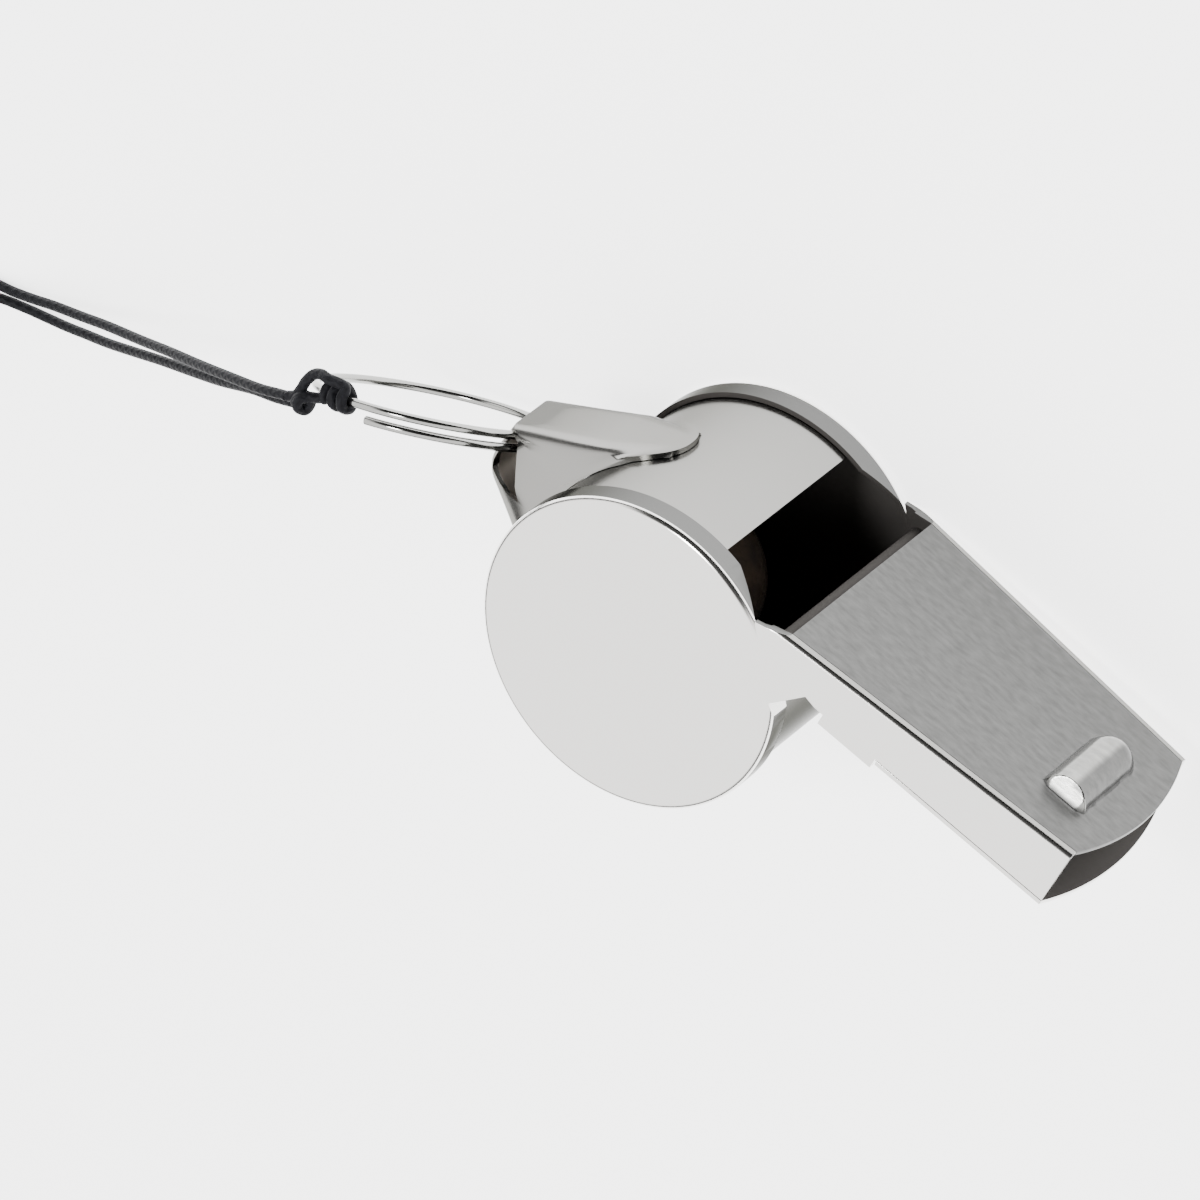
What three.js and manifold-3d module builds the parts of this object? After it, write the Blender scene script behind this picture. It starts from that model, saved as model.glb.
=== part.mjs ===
// Stamped steel pea whistle lying on its right cheek, with a split ring and a doubled lanyard cord.
// Millimetres, +Z up. The origin is on the barrel's axis, on the right cheek's flat outer face.
// +X points to the mouth, +Y to the window and Z runs across the whistle's width.
import * as THREE from 'three';
import { mergeVertices } from 'three/addons/utils/BufferGeometryUtils.js';
import Module from 'manifold-3d';

// Driving dimensions of the stamped body
const WIDTH = 18.3;
const SHEET = 0.35;
const SEAM_GAP = 0.05;
const CHEEK_RADIUS = 11.0;
const RIM_BEND = 0.5;
const FLANGE_WIDTH = 1.9;
const FLANGE_START_DEG = 77;
const FLANGE_TAPER_DEG = 19.5;
const BARREL_STEPS = 80;

// The cheeks fold inwards along a slanted line where the disc runs into the mouthpiece
const FOLD_INSET = 0.44;
const FOLD_ANGLE_DEG = 37.5;
const FOLD_SLOPE = 0.1;

// Mouthpiece, seen from the side and measured from the barrel
const TOP_DROP = 1.0;
const MOUTHPIECE_LENGTH = 19.87;
const MOUTH_HEIGHT = 4.25;
const NECK_AHEAD = 1.2;
const NECK_HEIGHT = 3.1;
const NOTCH_LENGTH = 0.85;
const NOTCH_RISE = 0.25;
const WINDOW_EDGE_INSET = 2.6;
const LIP_WIDTH = 0.6;
const LIP_BEND = 0.45;
const FRONT_BULGE = 1.3;
const TAB_AFTER_NECK = 0.7;
const TAB_LENGTH = 4.3;
const TAB_WIDTH = 1.6;

// Barrel strip with its window edge, crest and ramp
const WINDOW_REAR_DEG = 81.5;
const CREST_RISE_DEG = 44;
const CREST_INSET = 3.0;
const CREST_DROP = 2.45;
const CREST_BEND = 0.45;
const RAMP_LENGTH = 8;

// Tooth stop pressed up near the mouth
const STOP_TO_MOUTH = 3.22;
const STOP_LENGTH = 7.6;
const STOP_WIDTH = 3.4;
const STOP_HEIGHT = 1.35;

// Ring lug
const LUG_SHEET = 0.35;
const LUG_TOP_HALF = 2.45;
const LUG_FOOT_HALF = 3.9;
const LUG_DEPTH = 5.4;
const LUG_CREASE = 4.78;
const LUG_TANGENT_DEG = 124.5;
const LUG_UNDER_DEG = 233.7;
const TONGUE_HALF = 3.5;
const TONGUE_FROM_DEG = 121;
const TONGUE_TO_DEG = 250;

// Pea
const PEA_DIAMETER = 12;
const PEA_CLEARANCE = 0.3;
const PEA_REST_DEG = 225;

// Split ring
const RING_RADIUS = 7.71;
const RING_WIRE = 0.6;
const RING_PITCH = 0.85;
const RING_STEPS_PER_TURN = 40;

// Lanyard cord
const CORD = 0.7;
const CORD_END_GAP = 0.3;
const COIL_TURNS = 19.5;
const COIL_MEAN_RADIUS = 4.18;
const COIL_PITCH = 1.12;
const COIL_LAYERS = 4;
const COIL_STEPS_PER_TURN = 24;

// Sizes that follow from the ones above
const MID = WIDTH / 2;
const FLANGE_INNER = CHEEK_RADIUS - SHEET;
const BARREL_OUTER = FLANGE_INNER - SEAM_GAP;
const BARREL_MIDDLE = BARREL_OUTER - SHEET / 2;
const BARREL_INNER = BARREL_OUTER - SHEET;
const FOLD_DISTANCE = CHEEK_RADIUS - FOLD_INSET;
const MOUTHPIECE_TOP = CHEEK_RADIUS - TOP_DROP;
const MOUTH_LOWER_Y = MOUTHPIECE_TOP - MOUTH_HEIGHT;
const MOUTH_X = CHEEK_RADIUS + MOUTHPIECE_LENGTH;
const NECK_X = CHEEK_RADIUS + NECK_AHEAD;
const NECK_Y = MOUTHPIECE_TOP - NECK_HEIGHT;
const WINDOW_EDGE_X = CHEEK_RADIUS - WINDOW_EDGE_INSET;
const TAB_FROM_X = NECK_X + TAB_AFTER_NECK;
const TAB_TO_X = TAB_FROM_X + TAB_LENGTH;
const CREST_X = CHEEK_RADIUS - CREST_INSET;
const CREST_Y = CHEEK_RADIUS - CREST_DROP;
const RAMP_END_X = CREST_X + RAMP_LENGTH;
const STOP_X = MOUTH_X - STOP_TO_MOUTH;
const LUG_REACH = CHEEK_RADIUS + LUG_DEPTH;

const wasm = await Module();
wasm.setup();

const rad = THREE.MathUtils.degToRad;
const polar = (radius, deg) => [radius * Math.cos(rad(deg)), radius * Math.sin(rad(deg))];
const FOLD_NORMAL = polar(1, FOLD_ANGLE_DEG);

// A closed three.js geometry as a solid that can be joined and cut
function solid(geometry) {
  const bare = geometry.index ? geometry.toNonIndexed() : geometry.clone();
  bare.deleteAttribute('normal');
  bare.deleteAttribute('uv');
  const merged = mergeVertices(bare, 1e-4);
  const triangles = [];
  const index = merged.index.array;
  for (let i = 0; i < index.length; i += 3) {
    const [a, b, c] = [index[i], index[i + 1], index[i + 2]];
    if (a !== b && b !== c && c !== a) {
      triangles.push(a, b, c);
    }
  }
  if (signedVolume(merged.attributes.position, triangles) < 0) {
    triangles.reverse();
  }
  return new wasm.Manifold(new wasm.Mesh({
    numProp: 3,
    vertProperties: Float32Array.from(merged.attributes.position.array),
    triVerts: Uint32Array.from(triangles),
  }));
}

// Volume inside a triangle list, negative where its faces point inwards
function signedVolume(position, triangles) {
  const corner = (i) => new THREE.Vector3().fromBufferAttribute(position, triangles[i]);
  let volume = 0;
  for (let i = 0; i < triangles.length; i += 3) {
    volume += corner(i).dot(corner(i + 1).cross(corner(i + 2))) / 6;
  }
  return volume;
}

// The finished solid as a three.js geometry again
function geometryOf(body) {
  const mesh = body.getMesh();
  const geometry = new THREE.BufferGeometry();
  const positions = new Float32Array(mesh.numVert * 3);
  for (let i = 0; i < mesh.numVert; i += 1) {
    positions.set(mesh.vertProperties.subarray(i * mesh.numProp, i * mesh.numProp + 3), i * 3);
  }
  geometry.setAttribute('position', new THREE.BufferAttribute(positions, 3));
  geometry.setIndex(new THREE.BufferAttribute(Uint32Array.from(mesh.triVerts), 1));
  geometry.computeVertexNormals();
  return geometry;
}

// A flat outline in X and Y, thickened from one height to another
function prism(outline, fromZ, toZ) {
  const shape = new THREE.Shape(outline.map(([x, y]) => new THREE.Vector2(x, y)));
  const geometry = new THREE.ExtrudeGeometry(shape, { depth: toZ - fromZ, bevelEnabled: false });
  return geometry.translate(0, 0, fromZ);
}

// An outline in X and Z, thickened along Y
function plate(outline, fromY, toY) {
  const flipped = outline.map(([x, z]) => [x, -z]);
  return prism(flipped, fromY, toY).rotateX(-Math.PI / 2);
}

// Points on an arc about a centre, both ends included
function arc(cx, cy, radius, fromDeg, toDeg, steps) {
  const points = [];
  for (let i = 0; i <= steps; i += 1) {
    const [x, y] = polar(radius, fromDeg + (toDeg - fromDeg) * i / steps);
    points.push([cx + x, cy + y]);
  }
  return points;
}

// Closed skin through loops of equally many points, with a flat end on the first and last
function skin(loops) {
  const count = loops[0].length;
  const positions = loops.flat().flat();
  const triangles = [];
  for (let k = 0; k + 1 < loops.length; k += 1) {
    for (let i = 0; i < count; i += 1) {
      const j = (i + 1) % count;
      const [a, b] = [k * count + i, k * count + j];
      triangles.push(a, b, b + count, a, b + count, a + count);
    }
  }
  const last = (loops.length - 1) * count;
  const ends = [[loops[0], 0, true], [loops.at(-1), last, false]];
  for (const [loop, start, reversed] of ends) {
    for (const [a, b, c] of fill(loop)) {
      triangles.push(start + a, start + (reversed ? c : b), start + (reversed ? b : c));
    }
  }
  const geometry = new THREE.BufferGeometry();
  geometry.setAttribute('position', new THREE.Float32BufferAttribute(positions, 3));
  geometry.setIndex(triangles);
  return geometry;
}

// Triangles that fill a loop, laid out in its own plane, turning the way the loop does
function fill(loop) {
  const points = loop.map((p) => new THREE.Vector3(...p));
  const normal = new THREE.Vector3();
  points.forEach((p, i) => normal.add(p.clone().cross(points[(i + 1) % points.length])));
  normal.normalize();
  const across = points[1].clone().sub(points[0]).normalize();
  const along = normal.clone().cross(across);
  const flat = points.map((p) => new THREE.Vector2(p.dot(across), p.dot(along)));
  return THREE.ShapeUtils.triangulateShape(flat, []);
}

// Everything past the fold line moves towards the middle of the whistle
function foldInwards(geometry) {
  const position = geometry.attributes.position;
  for (let i = 0; i < position.count; i += 1) {
    const ahead = position.getX(i) * FOLD_NORMAL[0] + position.getY(i) * FOLD_NORMAL[1];
    const shift = FOLD_SLOPE * Math.max(0, ahead - FOLD_DISTANCE);
    const z = position.getZ(i);
    position.setZ(i, z < MID ? z + shift : z - shift);
  }
  return geometry;
}

// The cheeks' lower edge along the mouthpiece, which the floor lies under
function lowerEdge(x) {
  return NECK_Y + (MOUTH_LOWER_Y - NECK_Y) * (x - NECK_X) / (MOUTH_X - NECK_X);
}

// One cheek: a shallow cup for the disc, joined past the fold line to the mouthpiece's side strip
function cheek() {
  const inner = CHEEK_RADIUS - RIM_BEND;
  const profile = [
    [0, 0],
    ...arc(inner, RIM_BEND, RIM_BEND, -90, 0, 4),
    [CHEEK_RADIUS, FLANGE_WIDTH],
    [FLANGE_INNER, FLANGE_WIDTH],
    ...arc(inner, RIM_BEND, RIM_BEND - SHEET, 0, -90, 2),
    [0, SHEET],
  ];
  const points = profile.map(([r, z]) => new THREE.Vector2(r, z));
  const cup = solid(new THREE.LatheGeometry(points, BARREL_STEPS).rotateX(Math.PI / 2));
  const beyond = new THREE.BoxGeometry(20, 40, 10);
  beyond.translate(10 + FOLD_DISTANCE, 0, 0).rotateZ(rad(FOLD_ANGLE_DEG));
  const disc = cup.subtract(solid(beyond)).subtract(solid(flangeTaper()));
  return disc.add(sideStrip());
}

// The wedge that tapers the flange away towards the window's front
function flangeTaper() {
  const side = FLANGE_TAPER_DEG / 2;
  const full = CHEEK_RADIUS * Math.sin(rad(side));
  const clear = 2 * full;
  const wedge = [[full, FLANGE_WIDTH + 0.2], [-full, SHEET + 0.02], [-full - clear, SHEET + 0.02],
    [-full - clear, FLANGE_WIDTH + 0.2]];
  const geometry = prism(wedge.toReversed(), CHEEK_RADIUS * 0.8, CHEEK_RADIUS + 1);
  const middle = rad(FLANGE_START_DEG - side);
  const basis = new THREE.Matrix4().makeBasis(
    new THREE.Vector3(-Math.sin(middle), Math.cos(middle), 0),
    new THREE.Vector3(0, 0, 1),
    new THREE.Vector3(Math.cos(middle), Math.sin(middle), 0),
  );
  return geometry.applyMatrix4(basis);
}

// The mouthpiece's side strip with its folded lip above and its tab under the floor
function sideStrip() {
  const section = [
    [MOUTH_LOWER_Y - 2, 0],
    [MOUTHPIECE_TOP - LIP_BEND, 0],
    ...arc(MOUTHPIECE_TOP - LIP_BEND, LIP_BEND, LIP_BEND, -60, 0, 3),
    [MOUTHPIECE_TOP, LIP_WIDTH],
    [MOUTHPIECE_TOP - SHEET, LIP_WIDTH],
    [MOUTHPIECE_TOP - SHEET, LIP_BEND],
    [MOUTHPIECE_TOP - LIP_BEND, SHEET],
    [MOUTH_LOWER_Y - 2, SHEET],
  ];
  const bar = prism(section, 0, MOUTH_X);
  bar.applyMatrix4(new THREE.Matrix4().makeBasis(
    new THREE.Vector3(0, 1, 0),
    new THREE.Vector3(0, 0, 1),
    new THREE.Vector3(1, 0, 0),
  ));
  const foldAt = (along) => [
    FOLD_DISTANCE * FOLD_NORMAL[0] - along * FOLD_NORMAL[1] - 0.02,
    FOLD_DISTANCE * FOLD_NORMAL[1] + along * FOLD_NORMAL[0],
  ];
  const upper = foldAt(3.75);
  const lower = foldAt(-2);
  const outline = [
    lower, [NECK_X - NOTCH_LENGTH, NECK_Y + NOTCH_RISE], [NECK_X, NECK_Y], [MOUTH_X, MOUTH_LOWER_Y],
    [MOUTH_X, MOUTHPIECE_TOP + 0.1], [WINDOW_EDGE_X, MOUTHPIECE_TOP + 0.1], [WINDOW_EDGE_X, MOUTHPIECE_TOP], upper,
  ];
  const strip = solid(bar).intersect(solid(prism(outline, -1, 3)));
  const tab = [[TAB_FROM_X, lowerEdge(TAB_FROM_X) + 0.2], [TAB_TO_X, lowerEdge(TAB_TO_X) + 0.2]];
  const drop = SHEET + 2 * SEAM_GAP;
  const wall = [...tab.toReversed(), [TAB_FROM_X, tab[0][1] - 0.2 - drop - SHEET],
    [TAB_TO_X, tab[1][1] - 0.2 - drop - SHEET]];
  const foot = [[TAB_FROM_X, lowerEdge(TAB_FROM_X) - drop], [TAB_TO_X, lowerEdge(TAB_TO_X) - drop],
    ...wall.slice(2).toReversed()];
  const joined = strip.add(solid(prism(wall, 0, SHEET))).add(solid(prism(foot, 0, TAB_WIDTH)));
  return solid(foldInwards(geometryOf(joined)));
}

// The same cheek on the other side of the whistle
function mirrored(body) {
  return body.mirror([0, 0, 1]).translate([0, 0, WIDTH]);
}

// Outline of a sheet of the given thickness whose middle follows a path
function ribbon(path, thickness) {
  const [left, right] = [[], []];
  path.forEach(([x, y], i) => {
    const [px, py] = path[Math.max(0, i - 1)];
    const [nx, ny] = path[Math.min(path.length - 1, i + 1)];
    const length = Math.hypot(nx - px, ny - py);
    const [sx, sy] = [-(ny - py) / length * thickness / 2, (nx - px) / length * thickness / 2];
    left.push([x + sx, y + sy]);
    right.push([x - sx, y - sy]);
  });
  return [...right, ...left.toReversed()];
}

// The chamber's wall: round from the window's rear edge to the crest, and forwards as the ramp
function barrelStrip() {
  const turn = 360 + CREST_RISE_DEG - WINDOW_REAR_DEG;
  const steps = Math.round(BARREL_STEPS * turn / 360);
  const chamber = arc(0, 0, BARREL_MIDDLE, WINDOW_REAR_DEG, 360 + CREST_RISE_DEG, steps);
  const rampEnd = [RAMP_END_X, lowerEdge(RAMP_END_X) + SHEET / 2 + SEAM_GAP];
  const rampDeg = THREE.MathUtils.radToDeg(Math.atan2(rampEnd[1] - CREST_Y, RAMP_END_X - CREST_X));
  const crest = arc(CREST_X, CREST_Y - CREST_BEND, CREST_BEND, 165, 90 + rampDeg, 6);
  const outline = ribbon([...chamber, ...crest, rampEnd], SHEET);
  const edge = SHEET + 2 * SEAM_GAP;
  return foldInwards(prism(outline, edge, WIDTH - edge));
}

// The rounded front end that the top plate and the floor share
function frontEdge(halfWidth) {
  const radius = (halfWidth ** 2 + FRONT_BULGE ** 2) / (2 * FRONT_BULGE);
  const sweep = THREE.MathUtils.radToDeg(Math.asin(halfWidth / radius));
  return arc(MOUTH_X + FRONT_BULGE - radius, MID, radius, -sweep, sweep, 10);
}

// Half width inside the cheeks at the mouth, at a given height
function mouthInset(y) {
  const ahead = MOUTH_X * FOLD_NORMAL[0] + y * FOLD_NORMAL[1] - FOLD_DISTANCE;
  return FOLD_SLOPE * ahead;
}

// Round-ended outline of the tooth stop, drawn in by a margin
function stopLoop(margin, y) {
  const radius = Math.max(0.1, STOP_WIDTH / 2 - margin);
  const straight = STOP_LENGTH / 2 - margin - radius;
  const far = arc(STOP_X, MID + straight, radius, 0, 180, 8);
  const near = arc(STOP_X, MID - straight, radius, 180, 360, 8);
  return [...far, ...near].toReversed().map(([x, z]) => [x, y, z]);
}

// The flat top plate with its hollow tooth stop pressed up from below
function mouthpieceTop() {
  const side = LIP_WIDTH + SEAM_GAP;
  const inset = mouthInset(MOUTHPIECE_TOP);
  const rearInset = FOLD_SLOPE * Math.max(0,
    WINDOW_EDGE_X * FOLD_NORMAL[0] + MOUTHPIECE_TOP * FOLD_NORMAL[1] - FOLD_DISTANCE);
  const outline = [
    [WINDOW_EDGE_X, side + rearInset], ...frontEdge(MID - side - inset), [WINDOW_EDGE_X, WIDTH - side - rearInset],
  ];
  const slab = solid(plate(outline, MOUTHPIECE_TOP - SHEET, MOUTHPIECE_TOP));
  const base = MOUTHPIECE_TOP - SHEET;
  const dome = (sheet) => [0, 20, 40, 60, 78].map((deg) => stopLoop(
    sheet + (STOP_WIDTH / 2 - sheet) * (1 - Math.cos(rad(deg))) * 0.9,
    base + (STOP_HEIGHT + SHEET - sheet) * Math.sin(rad(deg)),
  ));
  const hollow = [stopLoop(SHEET, base - 0.1), ...dome(SHEET)];
  return slab.add(solid(skin(dome(0)))).subtract(solid(skin(hollow)));
}

// The flat floor of the mouthpiece, narrower where the tabs' walls pass it
function windwayFloor() {
  const inset = mouthInset(MOUTH_LOWER_Y);
  const straightAhead = (x) => FOLD_SLOPE * (x * FOLD_NORMAL[0] + lowerEdge(x) * FOLD_NORMAL[1] - FOLD_DISTANCE);
  const step = SHEET + SEAM_GAP;
  const shoulder = TAB_TO_X + 0.15;
  const outline = [
    [NECK_X, straightAhead(NECK_X) + step], [shoulder, straightAhead(shoulder) + step],
    [shoulder, straightAhead(shoulder)], ...frontEdge(MID - inset),
    [shoulder, WIDTH - straightAhead(shoulder)], [shoulder, WIDTH - straightAhead(shoulder) - step],
    [NECK_X, WIDTH - straightAhead(NECK_X) - step],
  ];
  const slope = Math.atan2(MOUTH_LOWER_Y - NECK_Y, MOUTH_X - NECK_X);
  const geometry = plate(outline, -SHEET - SEAM_GAP, -SEAM_GAP);
  const position = geometry.attributes.position;
  for (let i = 0; i < position.count; i += 1) {
    position.setY(i, position.getY(i) + NECK_Y + (position.getX(i) - NECK_X) * Math.tan(slope));
  }
  return geometry;
}

// Seen from the side, the lug's outer face in the plane of its top plate's edges
function lugOutline(sheet) {
  const seat = BARREL_OUTER + SEAM_GAP + LUG_SHEET;
  const [tx, ty] = polar(seat - sheet, LUG_TANGENT_DEG);
  const [ux, uy] = polar(seat - sheet, LUG_UNDER_DEG);
  const flat = (LUG_REACH - 0.35 + tx) / Math.sin(rad(LUG_TANGENT_DEG)) - sheet;
  const [dx, dy] = [-Math.sin(rad(LUG_TANGENT_DEG)), Math.cos(rad(LUG_TANGENT_DEG))];
  return [
    [tx, ty], [tx + LUG_CREASE * dx, ty + LUG_CREASE * dy], [tx + flat * dx, ty + flat * dy],
    [-LUG_REACH + sheet, -0.85], [-LUG_REACH + 0.5 + sheet * 0.7, -2.03 + sheet * 0.7],
    [-LUG_REACH + 1.4 + sheet * 0.5, -2.63 + sheet * 0.8],
    [ux, uy], ...lugInside(),
  ];
}

// The smaller outline on the barrel where the lug's side wings come down
function lugFootOutline(sheet) {
  const foot = [
    [LUG_TANGENT_DEG, 0.3], [143, 0.35], [167, 0.66], [176, 1.1], [181.5, 1.5], [190, 0.6], [LUG_UNDER_DEG, 0.3],
  ];
  return [...foot.map(([deg, above]) => polar(BARREL_OUTER + above - sheet, deg)), ...lugInside()];
}

// Two corners inside the barrel that close the lug's outlines before the barrel is cut out of them
function lugInside() {
  return [[5.1 - BARREL_OUTER, 3.3 - BARREL_OUTER], [5.3 - BARREL_OUTER, BARREL_OUTER - 3.2]];
}

// A round-ended tongue of the lug that lies on the barrel and is spot soldered there
function lugTongue(tipDeg, stemDeg) {
  const seat = BARREL_OUTER + SEAM_GAP;
  const outer = arc(0, 0, seat + LUG_SHEET, tipDeg, stemDeg, 8);
  const inner = arc(0, 0, seat - LUG_SHEET, stemDeg, tipDeg, 8);
  const band = solid(prism([...outer, ...inner], MID - TONGUE_HALF, MID + TONGUE_HALF));
  const turn = Math.sign(stemDeg - tipDeg);
  const roundDeg = tipDeg + turn * THREE.MathUtils.radToDeg(TONGUE_HALF / seat);
  const stem = new THREE.BoxGeometry(seat, 2 * CHEEK_RADIUS, 2 * TONGUE_HALF).translate(-turn * seat / 2, 0, 0);
  const end = new THREE.CylinderGeometry(TONGUE_HALF, TONGUE_HALF, 2 * CHEEK_RADIUS, 32);
  const facing = new THREE.Matrix4().makeTranslation(0, 0, MID);
  facing.multiply(new THREE.Matrix4().makeRotationZ(rad(roundDeg - 90)));
  const outline = solid(end.applyMatrix4(facing)).add(solid(stem.applyMatrix4(facing)));
  return band.intersect(outline);
}

// The hood that holds the ring: lofted, hollowed, opened at both sides and seated on the barrel
function ringLug() {
  const loops = (sheet) => {
    const [wide, narrow] = [lugOutline(sheet), lugFootOutline(sheet)];
    const at = (outline, z) => outline.map(([x, y]) => [x, y, z]);
    const [top, foot] = [LUG_TOP_HALF - sheet * 0.6, LUG_FOOT_HALF - sheet * 0.5];
    return [at(narrow, MID - foot), at(wide, MID - top), at(wide, MID + top), at(narrow, MID + foot)];
  };
  const eye = [
    [1.4, 1.95], [0.65, 2.1], [0.3, 0.9], [0.3, -0.85], [0.71, -1.82], [1.55, -2.39],
    [2.7, -1.6], [3.65, -1.15], [2.9, -0.5], [1.85, 1.2],
  ].map(([inwards, y]) => [inwards - LUG_REACH, y]);
  const barrel = new THREE.CylinderGeometry(BARREL_OUTER + SEAM_GAP, BARREL_OUTER + SEAM_GAP, 2 * WIDTH, 96);
  barrel.rotateX(Math.PI / 2);
  const hood = solid(skin(loops(0)))
    .subtract(solid(skin(loops(LUG_SHEET))))
    .subtract(solid(prism(eye, -1, WIDTH + 1)));
  return hood
    .add(lugTongue(TONGUE_FROM_DEG, 146))
    .add(lugTongue(TONGUE_TO_DEG, LUG_UNDER_DEG - 4))
    .subtract(solid(barrel));
}

// The loose ball that makes the trill
function corkPea() {
  const orbit = BARREL_INNER - PEA_DIAMETER / 2 - PEA_CLEARANCE;
  const [x, y] = polar(orbit, PEA_REST_DEG);
  const geometry = new THREE.SphereGeometry(PEA_DIAMETER / 2, 28, 18);
  return geometry.translate(x, y, SHEET + PEA_CLEARANCE + PEA_DIAMETER / 2);
}

// Closed tube of round section through centres, with flat ends square to its path
function tube(centres, radius, sides) {
  const points = centres.map((p) => new THREE.Vector3(...p));
  const last = points.length - 1;
  const tangents = points.map((p, i) => {
    return points[Math.min(last, i + 1)].clone().sub(points[Math.max(0, i - 1)]).normalize();
  });
  let across = new THREE.Vector3(0, 0, 1).cross(tangents[0]).normalize();
  const loops = points.map((p, i) => {
    across = across.sub(tangents[i].clone().multiplyScalar(across.dot(tangents[i]))).normalize();
    const along = tangents[i].clone().cross(across);
    return Array.from({ length: sides }, (_, k) => {
      const turn = 2 * Math.PI * k / sides;
      const out = across.clone().multiplyScalar(Math.cos(turn)).addScaledVector(along, Math.sin(turn));
      return p.clone().addScaledVector(out, radius).toArray();
    });
  });
  return skin(loops);
}

// Place and tilt of the ring: the point that sits in the lug's eye, the way from there to the ring's
// middle, and the ring's own axis
const RING_EYE = new THREE.Vector3(-14.6, 0.04, 8.44);
const RING_AXIS = new THREE.Vector3(-0.4093, 0.8198, -0.4004).normalize();
const RING_OUT = new THREE.Vector3(-0.9123, -0.3624, 0.1905);
RING_OUT.addScaledVector(RING_AXIS, -RING_OUT.dot(RING_AXIS)).normalize();
const RING_SIDE = RING_AXIS.clone().cross(RING_OUT);
const RING_CUT_DEG = 105;
const RING_END_DEG = 12;
const KNOT_DEG = 140;

// Middle of the ring's wire at an angle from the eye, moved along the ring's axis
function ringPoint(deg, offset) {
  return RING_EYE.clone()
    .addScaledVector(RING_OUT, RING_RADIUS * (1 - Math.cos(rad(deg))))
    .addScaledVector(RING_SIDE, RING_RADIUS * Math.sin(rad(deg)))
    .addScaledVector(RING_AXIS, offset);
}

// One wire that passes its own cut end, with the step from coil to coil just past the eye
function splitRing() {
  const sweep = RING_CUT_DEG + 360 - RING_END_DEG;
  const steps = Math.round(RING_STEPS_PER_TURN * sweep / 360);
  const centres = [];
  for (let i = 0; i <= steps; i += 1) {
    const deg = RING_CUT_DEG - sweep * i / steps;
    const climb = THREE.MathUtils.smoothstep(-deg, -5, 45);
    centres.push(ringPoint(deg, RING_PITCH * (climb - 1)).toArray());
  }
  return tube(centres, RING_WIRE / 2, 8);
}

// The cord's loop round the ring's wire and the turned-in end where both strands leave it
const KNOT_LOOP = 1.2;
const KNOT_CORD = 0.42;
const KNOT_END = 0.8;

function lanyardKnot() {
  const wire = ringPoint(KNOT_DEG, 0);
  const along = ringPoint(KNOT_DEG + 1, 0).sub(ringPoint(KNOT_DEG - 1, 0)).normalize();
  const out = wire.clone().sub(ringPoint(0, 0).addScaledVector(RING_OUT, RING_RADIUS)).normalize();
  const centre = wire.clone().addScaledVector(out, 0.2);
  const loop = new THREE.TorusGeometry(KNOT_LOOP, KNOT_CORD, 8, 24);
  const facing = new THREE.Quaternion().setFromUnitVectors(new THREE.Vector3(0, 0, 1), along);
  loop.applyQuaternion(facing).translate(...centre.toArray());
  const end = new THREE.SphereGeometry(KNOT_END, 14, 10).translate(...KNOT_TAIL);
  return solid(loop).add(solid(end));
}

// Where the strands leave the knot, and their routes down to the table and along it
const KNOT_TAIL = [-27.55, -3.65, 16.1];
const COIL_CENTRE = [-68.7, -34.7];
const COIL_AHEAD = new THREE.Vector2(0.905, 0.426).normalize();
const COIL_LEVEL = CORD / 2 + 0.01;

// A point near the coil, told by its distance ahead of the coil's middle and to its side
function besideCoil(ahead, aside, z) {
  const x = COIL_CENTRE[0] + ahead * COIL_AHEAD.x - aside * COIL_AHEAD.y;
  const y = COIL_CENTRE[1] + ahead * COIL_AHEAD.y + aside * COIL_AHEAD.x;
  return [x, y, z];
}

const COIL_TRAVEL = COIL_PITCH * COIL_TURNS / COIL_LAYERS;
const COIL_OUTER = COIL_MEAN_RADIUS + COIL_TRAVEL / 2;
const COIL_TOP = COIL_LEVEL + COIL_PITCH * (COIL_LAYERS - 1);
const STRAND_END = CORD + CORD_END_GAP;

const STRAND_A = [
  [-28.75, -4.25, 15.95], [-29.6, -5.0, 15.6], [-30.87, -6.2, 15.0], [-33.68, -8.87, 13.2],
  [-36.59, -11.86, 11.0], [-39.51, -14.86, 8.7], [-42.61, -18.09, 6.3], [-45.82, -21.06, 4.2],
  [-48.3, -23.3, 2.8], [-50.64, -25.21, 1.7], [-52.91, -26.97, 0.9], [-54.74, -28.05, 0.5],
  besideCoil(11, 0.9, 0.4), besideCoil(7.5, 3.3, 0.4), besideCoil(4.5, 5.8, 0.4),
  besideCoil(2.5, COIL_OUTER - 0.12, 0.38), besideCoil(STRAND_END, COIL_OUTER, COIL_LEVEL),
];
const STRAND_B = [
  [-28.35, -5.1, 15.05], [-29.96, -6.6, 14.3], [-31.7, -8.1, 13.4], [-34.79, -11.59, 11.2],
  [-37.65, -14.72, 9.0], [-40.45, -17.69, 6.9], [-43.02, -20.49, 5.0], [-45.59, -23.18, 3.2],
  [-47.48, -24.86, 2.1], [-49.3, -26.36, 1.2], [-51.06, -27.51, 0.6], [-52.69, -28.28, 0.4],
  [-55.11, -29.38, 0.4],
  besideCoil(11, -1.7, 0.45), besideCoil(7.5, -3.8, 1.6), besideCoil(4.5, -6.1, 3.2),
  besideCoil(2.5, 0.12 - COIL_OUTER, COIL_TOP - 0.06), besideCoil(STRAND_END, -COIL_OUTER, COIL_TOP),
];

// A free stretch of cord
function strand(route, steps) {
  const path = new THREE.CatmullRomCurve3(route.map((p) => new THREE.Vector3(...p)), false, 'centripetal');
  const section = new THREE.Shape(arc(0, 0, CORD / 2, 0, 315, 7).map(([x, y]) => new THREE.Vector2(x, y)));
  return new THREE.ExtrudeGeometry(section, { steps, extrudePath: path, bevelEnabled: false });
}

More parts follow.
